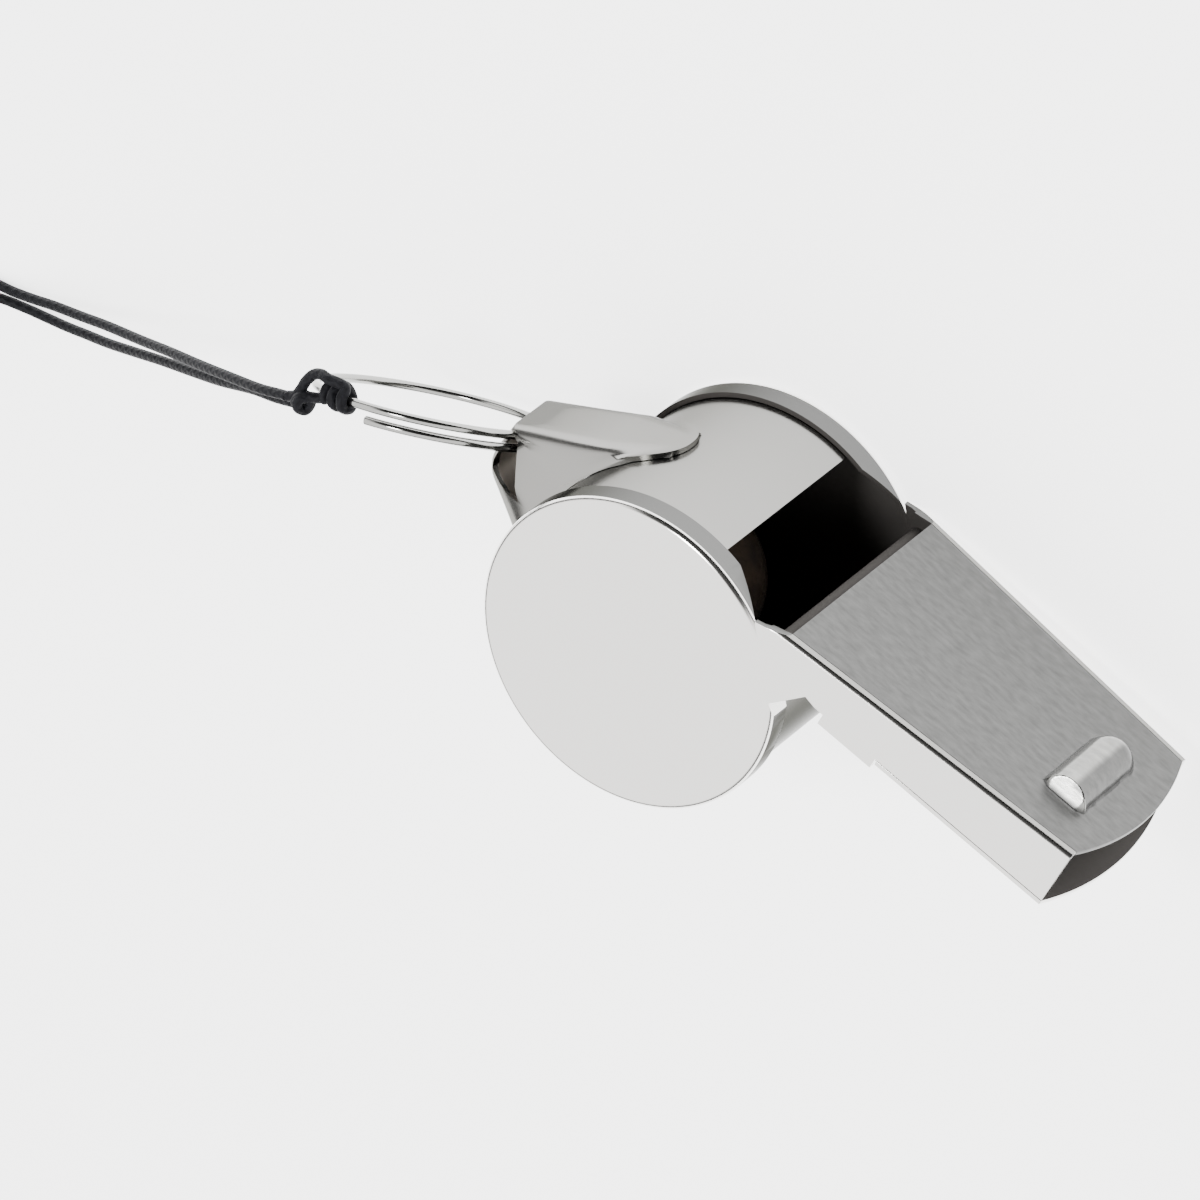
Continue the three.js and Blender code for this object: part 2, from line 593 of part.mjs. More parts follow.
// Middle of the wound cord after so many turns: the spiral runs in and out at a steady rate and climbs
// a layer in the half turn where it reverses
function coilPoint(turns) {
  const perLayer = COIL_TURNS / COIL_LAYERS;
  const layer = Math.floor(turns / perLayer);
  const within = turns - layer * perLayer;
  const inwards = layer % 2 === 0 ? within : perLayer - within;
  const radius = COIL_OUTER - COIL_PITCH * inwards;
  let level = 0;
  for (let reversal = 1; reversal < COIL_LAYERS; reversal += 1) {
    level += THREE.MathUtils.smoothstep(turns, reversal * perLayer - 0.25, reversal * perLayer + 0.25);
  }
  const angle = 2 * Math.PI * turns;
  return besideCoil(-radius * Math.sin(angle), radius * Math.cos(angle), COIL_LEVEL + COIL_PITCH * level);
}

// The rest of the cord, wound up, with a straight end at each side
function lanyardCoil() {
  const steps = Math.round(COIL_TURNS * COIL_STEPS_PER_TURN);
  const centres = [besideCoil(CORD, COIL_OUTER, COIL_LEVEL)];
  for (let i = 0; i <= steps; i += 1) {
    centres.push(coilPoint(COIL_TURNS * i / steps));
  }
  centres.push(besideCoil(CORD, -COIL_OUTER, COIL_TOP));
  console.log(`coil's least gap to itself: ${leastGap(centres).toFixed(3)} mm`);
  return tube(centres, CORD / 2, 6);
}

// Least distance between points of the coil that lie more than half a turn apart, less the cord
function leastGap(centres) {
  const apart = COIL_STEPS_PER_TURN / 2;
  const points = centres.map((p) => new THREE.Vector3(...p));
  let least = Infinity;
  for (let i = 0; i < points.length; i += 1) {
    for (let j = i + apart; j < points.length; j += 1) {
      least = Math.min(least, points[i].distanceTo(points[j]));
    }
  }
  return least - CORD;
}

const polished = { color: 0xd6d5d2, metalness: 1, roughness: 0.18 };
const satin = { color: 0xa9a9a7, metalness: 1, roughness: 0.42 };
const cork = { color: 0xb58a5c, metalness: 0, roughness: 0.85 };
const braid = { color: 0x24252b, metalness: 0, roughness: 0.8 };

const whistle = new THREE.Group();

function addPiece(name, body, look) {
  const geometry = body.isBufferGeometry ? geometryOf(solid(body)) : geometryOf(body);
  const mesh = new THREE.Mesh(geometry, new THREE.MeshStandardMaterial(look));
  mesh.name = name;
  whistle.add(mesh);
}

const rightCheek = cheek();
addPiece('right_cheek', rightCheek, polished);
addPiece('left_cheek', mirrored(rightCheek), polished);
addPiece('barrel_strip', barrelStrip(), polished);
addPiece('mouthpiece_top', mouthpieceTop(), satin);
addPiece('windway_floor', windwayFloor(), polished);
addPiece('ring_lug', ringLug(), polished);
addPiece('cork_pea', corkPea(), cork);
addPiece('split_ring', splitRing(), polished);
addPiece('lanyard_knot', lanyardKnot(), braid);
addPiece('lanyard_strand_a', strand(STRAND_A, 32), braid);
addPiece('lanyard_strand_b', strand(STRAND_B, 32), braid);
addPiece('lanyard_coil', lanyardCoil(), braid);

export default whistle;
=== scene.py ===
import math

import bmesh
import bpy
from mathutils import Matrix, Vector


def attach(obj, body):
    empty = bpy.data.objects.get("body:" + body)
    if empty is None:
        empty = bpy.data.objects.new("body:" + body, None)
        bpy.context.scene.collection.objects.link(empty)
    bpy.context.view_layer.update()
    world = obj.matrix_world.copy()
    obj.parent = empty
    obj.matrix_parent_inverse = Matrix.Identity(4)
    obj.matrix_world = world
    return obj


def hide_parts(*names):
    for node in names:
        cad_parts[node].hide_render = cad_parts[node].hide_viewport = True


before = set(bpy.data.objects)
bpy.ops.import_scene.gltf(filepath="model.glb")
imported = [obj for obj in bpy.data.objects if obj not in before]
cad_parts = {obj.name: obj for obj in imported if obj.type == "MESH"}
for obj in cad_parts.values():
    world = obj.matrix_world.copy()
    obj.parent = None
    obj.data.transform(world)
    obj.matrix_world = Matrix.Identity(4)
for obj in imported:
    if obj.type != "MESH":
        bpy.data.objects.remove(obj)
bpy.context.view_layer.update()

# Camera. A long lens 700 mm away looks down on the whistle from beyond its window, with the frame
# rolled so that the mouthpiece points down and to the right.
MM = 0.001
VIEW_BACK = Vector((0.190, 0.665, 0.722)).normalized()
VIEW_RIGHT = Vector((0.744, 0.382, -0.548))
VIEW_AIM = Vector((-4.70, -2.74, 12.91)) * MM
VIEW_DISTANCE = 700 * MM
FOCAL_PIXELS = 10906
IMAGE_SIDE = 1200
SENSOR = 36
CLIP_NEAR = 0.05
CLIP_FAR = 10

camera_data = bpy.data.cameras.new("camera")
camera_data.sensor_width = SENSOR
camera_data.lens = SENSOR * FOCAL_PIXELS / IMAGE_SIDE
camera_data.clip_start = CLIP_NEAR
camera_data.clip_end = CLIP_FAR
camera = bpy.data.objects.new("camera", camera_data)
bpy.context.scene.collection.objects.link(camera)
view_up = VIEW_BACK.cross(VIEW_RIGHT).normalized()
view_right = view_up.cross(VIEW_BACK)
view = Matrix((view_right, view_up, VIEW_BACK)).transposed().to_4x4()
view.translation = VIEW_AIM + VIEW_BACK * VIEW_DISTANCE
camera.matrix_world = view
bpy.context.scene.camera = camera

# Lanyard. One thin braided cord of black polyester, doubled. From its knot on the ring two strands
# fall to the table and run out of the picture, where the rest lies wound in a small coil.
CORD = 0.7
CORD_SIDES = 16
STRAND_STEPS = 5
COIL_TURNS = 19.5
COIL_MEAN_RADIUS = 4.18
COIL_PITCH = 1.12
COIL_LAYERS = 4
COIL_STEPS = 32
LAYER_CLIMB = 0.25
COIL_CENTRE = (-68.7, -34.7)
COIL_AHEAD = Vector((0.905, 0.426)).normalized()
COIL_LEVEL = CORD / 2 + 0.01
COIL_OUTER = COIL_MEAN_RADIUS + COIL_PITCH * COIL_TURNS / COIL_LAYERS / 2
COIL_TOP = COIL_LEVEL + COIL_PITCH * (COIL_LAYERS - 1)


def beside_coil(ahead, aside, z):
    x = COIL_CENTRE[0] + ahead * COIL_AHEAD.x - aside * COIL_AHEAD.y
    y = COIL_CENTRE[1] + ahead * COIL_AHEAD.y + aside * COIL_AHEAD.x
    return (x, y, z)


def smooth_step(value, low, high):
    share = min(1, max(0, (value - low) / (high - low)))
    return share * share * (3 - 2 * share)


def coil_point(turns):
    per_layer = COIL_TURNS / COIL_LAYERS
    layer = min(COIL_LAYERS - 1, int(turns / per_layer))
    within = turns - layer * per_layer
    inwards = within if layer % 2 == 0 else per_layer - within
    radius = COIL_OUTER - COIL_PITCH * inwards
    reversals = [n * per_layer for n in range(1, COIL_LAYERS)]
    level = sum(smooth_step(turns, at - LAYER_CLIMB, at + LAYER_CLIMB) for at in reversals)
    angle = 2 * math.pi * turns
    ahead, aside = -radius * math.sin(angle), radius * math.cos(angle)
    return beside_coil(ahead, aside, COIL_LEVEL + COIL_PITCH * level)


strand_a = [
    (-28.75, -4.25, 15.95), (-29.6, -5.0, 15.6), (-30.87, -6.2, 15.0), (-33.68, -8.87, 13.2),
    (-36.59, -11.86, 11.0), (-39.51, -14.86, 8.7), (-42.61, -18.09, 6.3), (-45.82, -21.06, 4.2),
    (-48.3, -23.3, 2.8), (-50.64, -25.21, 1.7), (-52.91, -26.97, 0.9), (-54.74, -28.05, 0.5),
    beside_coil(11, 0.9, 0.4), beside_coil(7.5, 3.3, 0.4), beside_coil(4.5, 5.8, 0.4),
    beside_coil(2.5, COIL_OUTER - 0.12, 0.38), beside_coil(1.0, COIL_OUTER, COIL_LEVEL),
]
strand_b = [
    (-28.35, -5.1, 15.05), (-29.96, -6.6, 14.3), (-31.7, -8.1, 13.4), (-34.79, -11.59, 11.2),
    (-37.65, -14.72, 9.0), (-40.45, -17.69, 6.9), (-43.02, -20.49, 5.0), (-45.59, -23.18, 3.2),
    (-47.48, -24.86, 2.1), (-49.3, -26.36, 1.2), (-51.06, -27.51, 0.6), (-52.69, -28.28, 0.4),
    (-55.11, -29.38, 0.4), beside_coil(11, -1.7, 0.45), beside_coil(7.5, -3.8, 1.6),
    beside_coil(4.5, -6.1, 3.2), beside_coil(2.5, 0.12 - COIL_OUTER, COIL_TOP - 0.06),
    beside_coil(1.0, -COIL_OUTER, COIL_TOP),
]


def smooth_route(points, steps_between):
    """Points of a centripetal spline through given points."""
    knots = [Vector(p) for p in points]
    ends = [knots[0] * 2 - knots[1], *knots, knots[-1] * 2 - knots[-2]]
    route = []
    for i in range(1, len(ends) - 2):
        p = ends[i - 1 : i + 3]
        t = [0.0]
        for a, b in zip(p, p[1:]):
            t.append(t[-1] + math.sqrt((b - a).length))
        for k in range(steps_between):
            u = t[1] + (t[2] - t[1]) * k / steps_between
            a = [p[n] + (p[n + 1] - p[n]) * (u - t[n]) / (t[n + 1] - t[n]) for n in range(3)]
            b = [a[n] + (a[n + 1] - a[n]) * (u - t[n]) / (t[n + 2] - t[n]) for n in range(2)]
            route.append(b[0] + (b[1] - b[0]) * (u - t[1]) / (t[2] - t[1]))
    return [*route, knots[-1]]


def add_object(name, shape):
    """The shape as an object of the scene."""
    mesh = bpy.data.meshes.new(name)
    shape.to_mesh(mesh)
    shape.free()
    piece = bpy.data.objects.new(name, mesh)
    bpy.context.scene.collection.objects.link(piece)
    return piece


def sweep(name, route, radius, sides):
    """A closed round tube along a route in millimetres, with its length in its UV map."""
    shape = bmesh.new()
    uv = shape.loops.layers.uv.new("along")
    count = len(route)
    tangents = [
        (route[min(count - 1, i + 1)] - route[max(0, i - 1)]).normalized() for i in range(count)
    ]
    across = Vector((0, 0, 1)).cross(tangents[0]).normalized()
    turns = [2 * math.pi * k / sides for k in range(sides)]
    rings = []
    run = [0.0]
    for i in range(count):
        across = (across - tangents[i] * across.dot(tangents[i])).normalized()
        along = tangents[i].cross(across)
        rings.append([
            shape.verts.new((route[i] + (across * math.cos(t) + along * math.sin(t)) * radius) * MM)
            for t in turns
        ])
        if i:
            run.append(run[-1] + (route[i] - route[i - 1]).length)
    for i in range(count - 1):
        for k in range(sides):
            n = (k + 1) % sides
            face = shape.faces.new((rings[i][k], rings[i][n], rings[i + 1][n], rings[i + 1][k]))
            face.smooth = True
            places = ((k, i), (k + 1, i), (k + 1, i + 1), (k, i + 1))
            for loop, (turn, at) in zip(face.loops, places):
                loop[uv].uv = (turn / sides, run[at])
    shape.faces.new(list(reversed(rings[0])))
    shape.faces.new(rings[-1])
    return add_object(name, shape)


def new_material(name, colour, metallic, roughness):
    material = bpy.data.materials.new(name)
    material.use_nodes = True
    shader = material.node_tree.nodes["Principled BSDF"]
    shader.inputs["Base Color"].default_value = (*colour, 1)
    shader.inputs["Metallic"].default_value = metallic
    shader.inputs["Roughness"].default_value = roughness
    return material, material.node_tree, shader


def add_node(tree, kind, **settings):
    node = tree.nodes.new(kind)
    for name, value in settings.items():
        setattr(node, name, value)
    return node


def axes_of(tree, kind):
    """A point's separate coordinates, of the piece itself or of its UV map."""
    place = add_node(tree, "ShaderNodeTexCoord")
    split = add_node(tree, "ShaderNodeSeparateXYZ")
    tree.links.new(place.outputs[kind], split.inputs[0])
    return split.outputs


def join_values(tree, operation, first, second):
    node = add_node(tree, "ShaderNodeMath", operation=operation)
    tree.links.new(first, node.inputs[0])
    tree.links.new(second, node.inputs[1])
    return node.outputs[0]


def tone_ramp(tree, value, dark, light, ends=(0, 1)):
    """A colour from a dark to a light tone, by a value."""
    ramp = add_node(tree, "ShaderNodeValToRGB")
    for element, tone, at in zip(ramp.color_ramp.elements, (dark, light), ends):
        element.position = at
        element.color = (*tone, 1)
    tree.links.new(value, ramp.inputs[0])
    return ramp.outputs[0]


def add_bump(tree, shader, height, depth, strength):
    """Gives a material relief, with its depth in millimetres."""
    bump = add_node(tree, "ShaderNodeBump")
    bump.inputs["Distance"].default_value = depth * MM
    bump.inputs["Strength"].default_value = strength
    tree.links.new(height, bump.inputs["Height"])
    tree.links.new(bump.outputs[0], shader.inputs["Normal"])


# The braid: eight crossing bands that show as a fine herringbone along the cord.
BRAID_PITCH = 0.9
BRAID_BANDS_EACH_WAY = 4
BRAID_DEPTH = 0.12
cord_material, tree, shader = new_material("black_braid", (0.016, 0.016, 0.02), 0, 0.62)
shader.inputs["Specular IOR Level"].default_value = 0.12
along_cord = axes_of(tree, "UV")
bands = []
for direction in (1, -1):
    slant = add_node(tree, "ShaderNodeMath", operation="MULTIPLY_ADD")
    slant.inputs[1].default_value = direction * BRAID_BANDS_EACH_WAY
    tree.links.new(along_cord["X"], slant.inputs[0])
    length = add_node(tree, "ShaderNodeMath", operation="DIVIDE")
    length.inputs[1].default_value = BRAID_PITCH
    tree.links.new(along_cord["Y"], length.inputs[0])
    tree.links.new(length.outputs[0], slant.inputs[2])
    wave = add_node(tree, "ShaderNodeMath", operation="PINGPONG")
    wave.inputs[1].default_value = 0.5
    tree.links.new(slant.outputs[0], wave.inputs[0])
    bands.append(wave.outputs[0])
weave = join_values(tree, "MAXIMUM", *bands)
add_bump(tree, shader, weave, BRAID_DEPTH, 0.8)
tone = tone_ramp(tree, weave, (0.002, 0.002, 0.003), (0.012, 0.0125, 0.016))
tree.links.new(tone, shader.inputs["Base Color"])

coil_steps = round(COIL_TURNS * COIL_STEPS)
coil_route = [Vector(coil_point(COIL_TURNS * i / coil_steps)) for i in range(coil_steps + 1)]
cord_route = [
    *smooth_route(strand_a, STRAND_STEPS), *coil_route,
    *reversed(smooth_route(strand_b, STRAND_STEPS)),
]
lanyard = sweep("lanyard_cord", cord_route, CORD / 2, CORD_SIDES)
lanyard.data.materials.append(cord_material)
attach(lanyard, "ring")
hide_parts("lanyard_strand_a", "lanyard_strand_b", "lanyard_coil")

# Split ring. Chromed spring steel wire, wound to one and a quarter turns so that each cut end lies
# beside the wire. It was threaded through the lug's eye, where it hangs loose and can swing.
RING_RADIUS = 7.684
RING_WIRE = 0.6
RING_PITCH = 0.85
RING_EYE = Vector((-14.899, 0.559, 8.089))
RING_AXIS = Vector((-0.4399, 0.798, -0.412)).normalized()
RING_OUT = Vector((-0.8981, -0.3896, 0.2042))
RING_OUT = (RING_OUT - RING_AXIS * RING_OUT.dot(RING_AXIS)).normalized()
RING_SIDE = RING_AXIS.cross(RING_OUT)
RING_CUT = 104
RING_END = 12
RING_STEPS = 340
RING_SIDES = 20
LAP_START = -5
LAP_END = 45
CUT_EDGE = 0.06
CUT_SHARP_ANGLE = 60


def ring_point(turn, offset=0.0):
    """Middle of the wire, by its angle in degrees from the eye."""
    t = math.radians(turn)
    way = RING_OUT * (1 - math.cos(t)) + RING_SIDE * math.sin(t)
    return RING_EYE + way * RING_RADIUS + RING_AXIS * offset


def grain_bump(tree, shader, scale, depth, strength, stretch=(1, 1, 1)):
    """Fine scratches or grain, which may be stretched along one way of the sheet."""
    place = add_node(tree, "ShaderNodeTexCoord")
    turn = add_node(tree, "ShaderNodeMapping")
    turn.inputs["Scale"].default_value = stretch
    noise = add_node(tree, "ShaderNodeTexNoise")
    noise.inputs["Scale"].default_value = scale
    noise.inputs["Detail"].default_value = 3
    tree.links.new(place.outputs["Object"], turn.inputs[0])
    tree.links.new(turn.outputs[0], noise.inputs["Vector"])
    add_bump(tree, shader, noise.outputs["Fac"], depth, strength)
    return noise.outputs["Fac"]


def map_range(tree, value, limits, results, curve="LINEAR"):
    """Carries a value between two limits over to a range of results."""
    node = add_node(tree, "ShaderNodeMapRange", interpolation_type=curve)
    node.inputs["From Min"].default_value, node.inputs["From Max"].default_value = limits
    node.inputs["To Min"].default_value, node.inputs["To Max"].default_value = results
    tree.links.new(value, node.inputs["Value"])
    return node.outputs[0]


def vary_roughness(tree, shader, noise, low, high):
    roughness = map_range(tree, noise, (0, 1), (low, high))
    tree.links.new(roughness, shader.inputs["Roughness"])


ring_sweep = RING_CUT + 360 - RING_END
ring_route = []
for step in range(RING_STEPS + 1):
    turn = RING_CUT - ring_sweep * step / RING_STEPS
    lap = RING_PITCH * (smooth_step(-turn, LAP_START, LAP_END) - 1)
    ring_route.append(ring_point(turn, lap))
ring = sweep("split_ring_wire", ring_route, RING_WIRE / 2, RING_SIDES)
cut_edges = ring.modifiers.new("cut edges", "BEVEL")
cut_edges.width = CUT_EDGE * MM
cut_edges.segments = 2
cut_edges.limit_method = "ANGLE"
cut_edges.angle_limit = math.radians(CUT_SHARP_ANGLE)
chrome, tree, shader = new_material("chrome_wire", (0.3, 0.3, 0.29), 1, 0.14)
wire_noise = grain_bump(tree, shader, 700, 0.001, 0.1)
vary_roughness(tree, shader, wire_noise, 0.1, 0.18)
ring.data.materials.append(chrome)
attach(ring, "ring")
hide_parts("split_ring")

# Knot. The same braided cord. Its two strands meet in a tight turn, and from there its loop goes
# over the ring's wire, three times round it, and comes back, which holds the lanyard on the ring.
KNOT_TAIL = Vector((-27.55, -3.65, 16.1))
KNOT_CORD = CORD * 1.05
KNOT_STEPS = 10
WRAP_RADIUS = 0.6
WRAP_TURNS = (117, 123.5, 130)


def beside_tail(right, up, near):
    return KNOT_TAIL + view_right * right + view_up * up + VIEW_BACK * near


def wrap_point(turn, lap, radius=WRAP_RADIUS):
    """A point of the cord round the wire, its lap measured from above towards the viewer."""
    along = (ring_point(turn + 1) - ring_point(turn - 1)).normalized()
    up = (view_up - along * view_up.dot(along)).normalized()
    near = (VIEW_BACK - along * VIEW_BACK.dot(along) - up * VIEW_BACK.dot(up)).normalized()
    way = up * math.cos(math.radians(lap)) + near * math.sin(math.radians(lap))
    return ring_point(turn) + way * radius


first, second, third = WRAP_TURNS
knot_points = [
    strand_a[0], beside_tail(-0.5, 0.5, -0.2), beside_tail(-0.1, 0.95, 0.3),
    beside_tail(0.2, 1.4, 0.8), beside_tail(0.7, 1.8, 1.3), beside_tail(1.2, 1.8, 1.9),
    beside_tail(1.65, 1.5, 2.5),
    wrap_point(first + 1, 20, 0.85), *(wrap_point(first, lap) for lap in (80, 140, 210)),
    wrap_point(first + 2, 280), wrap_point(second - 2, 350, 0.8),
    *(wrap_point(second, lap) for lap in (410, 480, 550)),
    wrap_point(second + 2, 620), wrap_point(third - 2, 700, 0.8),
    *(wrap_point(third, lap) for lap in (760, 840)),
    beside_tail(1.45, 0.3, 1.2), beside_tail(0.9, 0.3, 0.8), beside_tail(0.35, 0.35, 0.5),
    beside_tail(-0.3, 0.15, 0.45), beside_tail(-0.35, -0.3, 0.1), beside_tail(0.1, -0.45, -0.2),
    beside_tail(0.45, 0.0, 0.1), beside_tail(0.2, 0.45, 0.5), beside_tail(-0.35, 0.3, 0.3),
    beside_tail(-0.45, -0.1, -0.2), beside_tail(0.0, -0.1, -0.5), strand_b[0],
]
knot_route = smooth_route(knot_points, KNOT_STEPS)
knot = sweep("lanyard_knot_loop", knot_route, KNOT_CORD / 2, CORD_SIDES)
knot.data.materials.append(cord_material)
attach(knot, "ring")
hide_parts("lanyard_knot")

# Cheeks. Two mirror-image cups stamped from 0.35 mm steel and nickel plated: a flat disc with a
# softly bent rim, a flange over the barrel strip, and past a slanted fold the mouthpiece's side
# strip, whose lip folds over the top plate and whose tab folds under the floor.
WIDTH = 18.3
MID = WIDTH / 2
SHEET = 0.35
SEAM_GAP = 0.05
CHEEK_RADIUS = 11.0
RIM_BEND = 0.5
RIM_STEPS = 180
BEND_STEPS = 8
FLANGE_WIDTH = 1.9
FLANGE_START = 77
FLANGE_TAPER = 19.5
FOLD_DISTANCE = 10.56
FOLD_ANGLE = math.radians(37.5)
FOLD_SLOPE = 0.1
FOLD_SOFTNESS = 0.35
FOLD_STRAIGHT_AFTER = 12
FOLD_CUTS = range(-3, 6)
FOLD_LENGTH = 40
FOLD_REACH = 60
FOLD_DEPTH = 5
FOLD_OVERLAP = 0.02
MOUTH_X = 30.87
MOUTH_TOP = 10.0
MOUTH_LOWER = 5.75
NECK_X = 12.2
NECK_Y = 6.9
NECK_NOTCH = (11.35, 7.15)
STRIP_FOOT = -2
STRIP_HEAD = 3.75
TRIM_DEPTHS = (-1, 3)
WINDOW_EDGE_X = 8.4
LIP_WIDTH = 0.6
LIP_BEND = 0.45
LIP_START = -80
TAB_FROM_X = 12.9
TAB_TO_X = 17.2
TAB_WIDTH = 1.6
TAB_OVERLAP = 0.2
CHEEK_EDGE = 0.05
SHARP_ANGLE = 32
FLAT_FACE_WEIGHT = 80
MERGE_DISTANCE = 1e-4
fold_normal = Vector((math.cos(FOLD_ANGLE), math.sin(FOLD_ANGLE), 0))


def arc(cx, cy, radius, start, end, steps):
    """Points on an arc, with its angles in degrees."""
    turns = [math.radians(start + (end - start) * i / steps) for i in range(steps + 1)]
    return [(cx + radius * math.cos(t), cy + radius * math.sin(t)) for t in turns]


def lower_edge(x):
    return NECK_Y + (MOUTH_LOWER - NECK_Y) * (x - NECK_X) / (MOUTH_X - NECK_X)


def fold_shift(x, y):
    """How far a point moves towards the whistle's middle, with the fold rounded off."""
    ahead = x * fold_normal.x + y * fold_normal.y - FOLD_DISTANCE
    if ahead > FOLD_STRAIGHT_AFTER * FOLD_SOFTNESS:
        return FOLD_SLOPE * ahead
    return FOLD_SLOPE * FOLD_SOFTNESS * math.log1p(math.exp(ahead / FOLD_SOFTNESS))


def prism(outline, low, high):
    """A closed solid mesh from an outline in X and Y."""
    shape = bmesh.new()
    face = shape.faces.new([shape.verts.new((x, y, low)) for x, y in outline])
    grown = bmesh.ops.extrude_face_region(shape, geom=[face])
    top = [v for v in grown["geom"] if isinstance(v, bmesh.types.BMVert)]
    bmesh.ops.translate(shape, verts=top, vec=(0, 0, high - low))
    bmesh.ops.recalc_face_normals(shape, faces=shape.faces)
    return shape


def new_piece(name, shape):
    """The shape, made in millimetres, as an object in metres."""
    bmesh.ops.scale(shape, vec=(MM, MM, MM), verts=shape.verts)
    for face in shape.faces:
        face.smooth = True
    return add_object(name, shape)


def combine(piece, other, operation):
    """Joins or cuts a piece by another, which is then removed."""
    modifier = piece.modifiers.new("combine", "BOOLEAN")
    modifier.operation = operation
    modifier.solver = "EXACT"
    modifier.object = other
    bpy.context.view_layer.update()
    evaluated = piece.evaluated_get(bpy.context.evaluated_depsgraph_get())
    mesh = bpy.data.meshes.new_from_object(evaluated)
    piece.modifiers.clear()
    piece.data = mesh
    bpy.data.objects.remove(other)


def finish_sheet(piece, edge, angle=SHARP_ANGLE):
    """Rounds a stamped piece's edges a little and keeps its flats flat."""
    bevel = piece.modifiers.new("edges", "BEVEL")
    bevel.width = edge * MM
    bevel.segments = 2
    bevel.limit_method = "ANGLE"
    bevel.angle_limit = math.radians(angle)
    bevel.use_clamp_overlap = True
    weighted = piece.modifiers.new("flats", "WEIGHTED_NORMAL")
    weighted.keep_sharp = True
    weighted.weight = FLAT_FACE_WEIGHT


inner_radius = CHEEK_RADIUS - RIM_BEND
cup_profile = [
    (0, 0), *arc(inner_radius, RIM_BEND, RIM_BEND, -90, 0, BEND_STEPS),
    (CHEEK_RADIUS, FLANGE_WIDTH), (CHEEK_RADIUS - SHEET, FLANGE_WIDTH),
    *arc(inner_radius, RIM_BEND, RIM_BEND - SHEET, 0, -90, BEND_STEPS // 2), (0, SHEET),
]
cup = bmesh.new()
profile_verts = [cup.verts.new((r, 0, z)) for r, z in cup_profile]
profile_edges = [cup.edges.new(pair) for pair in zip(profile_verts, profile_verts[1:])]
bmesh.ops.spin(
    cup, geom=[*profile_verts, *profile_edges], cent=(0, 0, 0), axis=(0, 0, 1),
    angle=2 * math.pi, steps=RIM_STEPS, use_merge=True,
)
bmesh.ops.remove_doubles(cup, verts=cup.verts, dist=MERGE_DISTANCE)
bmesh.ops.dissolve_degenerate(cup, edges=cup.edges, dist=MERGE_DISTANCE)
bmesh.ops.recalc_face_normals(cup, faces=cup.faces)
right_cheek = new_piece("right_cheek_shell", cup)

# The flange tapers away towards the window's front corner.
middle_turn = math.radians(FLANGE_START - FLANGE_TAPER / 2)
reach = CHEEK_RADIUS * math.sin(math.radians(FLANGE_TAPER / 2))
past_flange = FLANGE_WIDTH + 0.2
flange_foot = SHEET + 0.02
wedge_inner, wedge_outer = CHEEK_RADIUS * 0.8, CHEEK_RADIUS + 1
wedge = prism([
    (reach, past_flange), (-3 * reach, past_flange), (-3 * reach, flange_foot),
    (-reach, flange_foot),
], wedge_inner, wedge_outer)
wedge_axes = Matrix((
    (-math.sin(middle_turn), math.cos(middle_turn), 0), (0, 0, 1),
    (math.cos(middle_turn), math.sin(middle_turn), 0),
)).transposed()
bmesh.ops.transform(wedge, matrix=wedge_axes.to_4x4(), verts=wedge.verts)
bmesh.ops.recalc_face_normals(wedge, faces=wedge.faces)
combine(right_cheek, new_piece("wedge", wedge), "DIFFERENCE")

beyond = prism([
    (FOLD_DISTANCE, -FOLD_LENGTH), (FOLD_REACH, -FOLD_LENGTH), (FOLD_REACH, FOLD_LENGTH),
    (FOLD_DISTANCE, FOLD_LENGTH),
], -FOLD_DEPTH, FOLD_DEPTH)
bmesh.ops.rotate(beyond, matrix=Matrix.Rotation(FOLD_ANGLE, 3, "Z"), verts=beyond.verts)
combine(right_cheek, new_piece("beyond", beyond), "DIFFERENCE")

# The side strip: a wall with its rounded lip, run along the mouthpiece and trimmed to its outline.
bend_y = MOUTH_TOP - LIP_BEND
wall_foot = MOUTH_LOWER - 2
wall_section = [
    (wall_foot, 0), (bend_y, 0), *arc(bend_y, LIP_BEND, LIP_BEND, LIP_START, 0, BEND_STEPS),
    (MOUTH_TOP, LIP_WIDTH), (MOUTH_TOP - SHEET, LIP_WIDTH), (MOUTH_TOP - SHEET, LIP_BEND),
    (bend_y, SHEET), (wall_foot, SHEET),
]
bar = prism(wall_section, 0, MOUTH_X)
section_axes = Matrix(((0, 1, 0), (0, 0, 1), (1, 0, 0))).transposed()
bmesh.ops.transform(bar, matrix=section_axes.to_4x4(), verts=bar.verts)
bmesh.ops.recalc_face_normals(bar, faces=bar.faces)
side_strip = new_piece("side_strip", bar)


def on_fold(along):
    """A point just behind the fold line, so far along it."""
    x = FOLD_DISTANCE * fold_normal.x - along * fold_normal.y
    return (x - FOLD_OVERLAP, FOLD_DISTANCE * fold_normal.y + along * fold_normal.x)


above_lip = MOUTH_TOP + 0.1
trim = prism([
    on_fold(STRIP_FOOT), NECK_NOTCH, (NECK_X, NECK_Y), (MOUTH_X, MOUTH_LOWER),
    (MOUTH_X, above_lip), (WINDOW_EDGE_X, above_lip), (WINDOW_EDGE_X, MOUTH_TOP),
    on_fold(STRIP_HEAD),
], *TRIM_DEPTHS)
combine(side_strip, new_piece("trim", trim), "INTERSECT")
drop = SHEET + 2 * SEAM_GAP
tab_rear = lower_edge(TAB_FROM_X) - drop
tab_front = lower_edge(TAB_TO_X) - drop
tab_wall = prism([
    (TAB_TO_X, lower_edge(TAB_TO_X) + TAB_OVERLAP),
    (TAB_FROM_X, lower_edge(TAB_FROM_X) + TAB_OVERLAP),
    (TAB_FROM_X, tab_rear - SHEET), (TAB_TO_X, tab_front - SHEET),
], 0, SHEET)
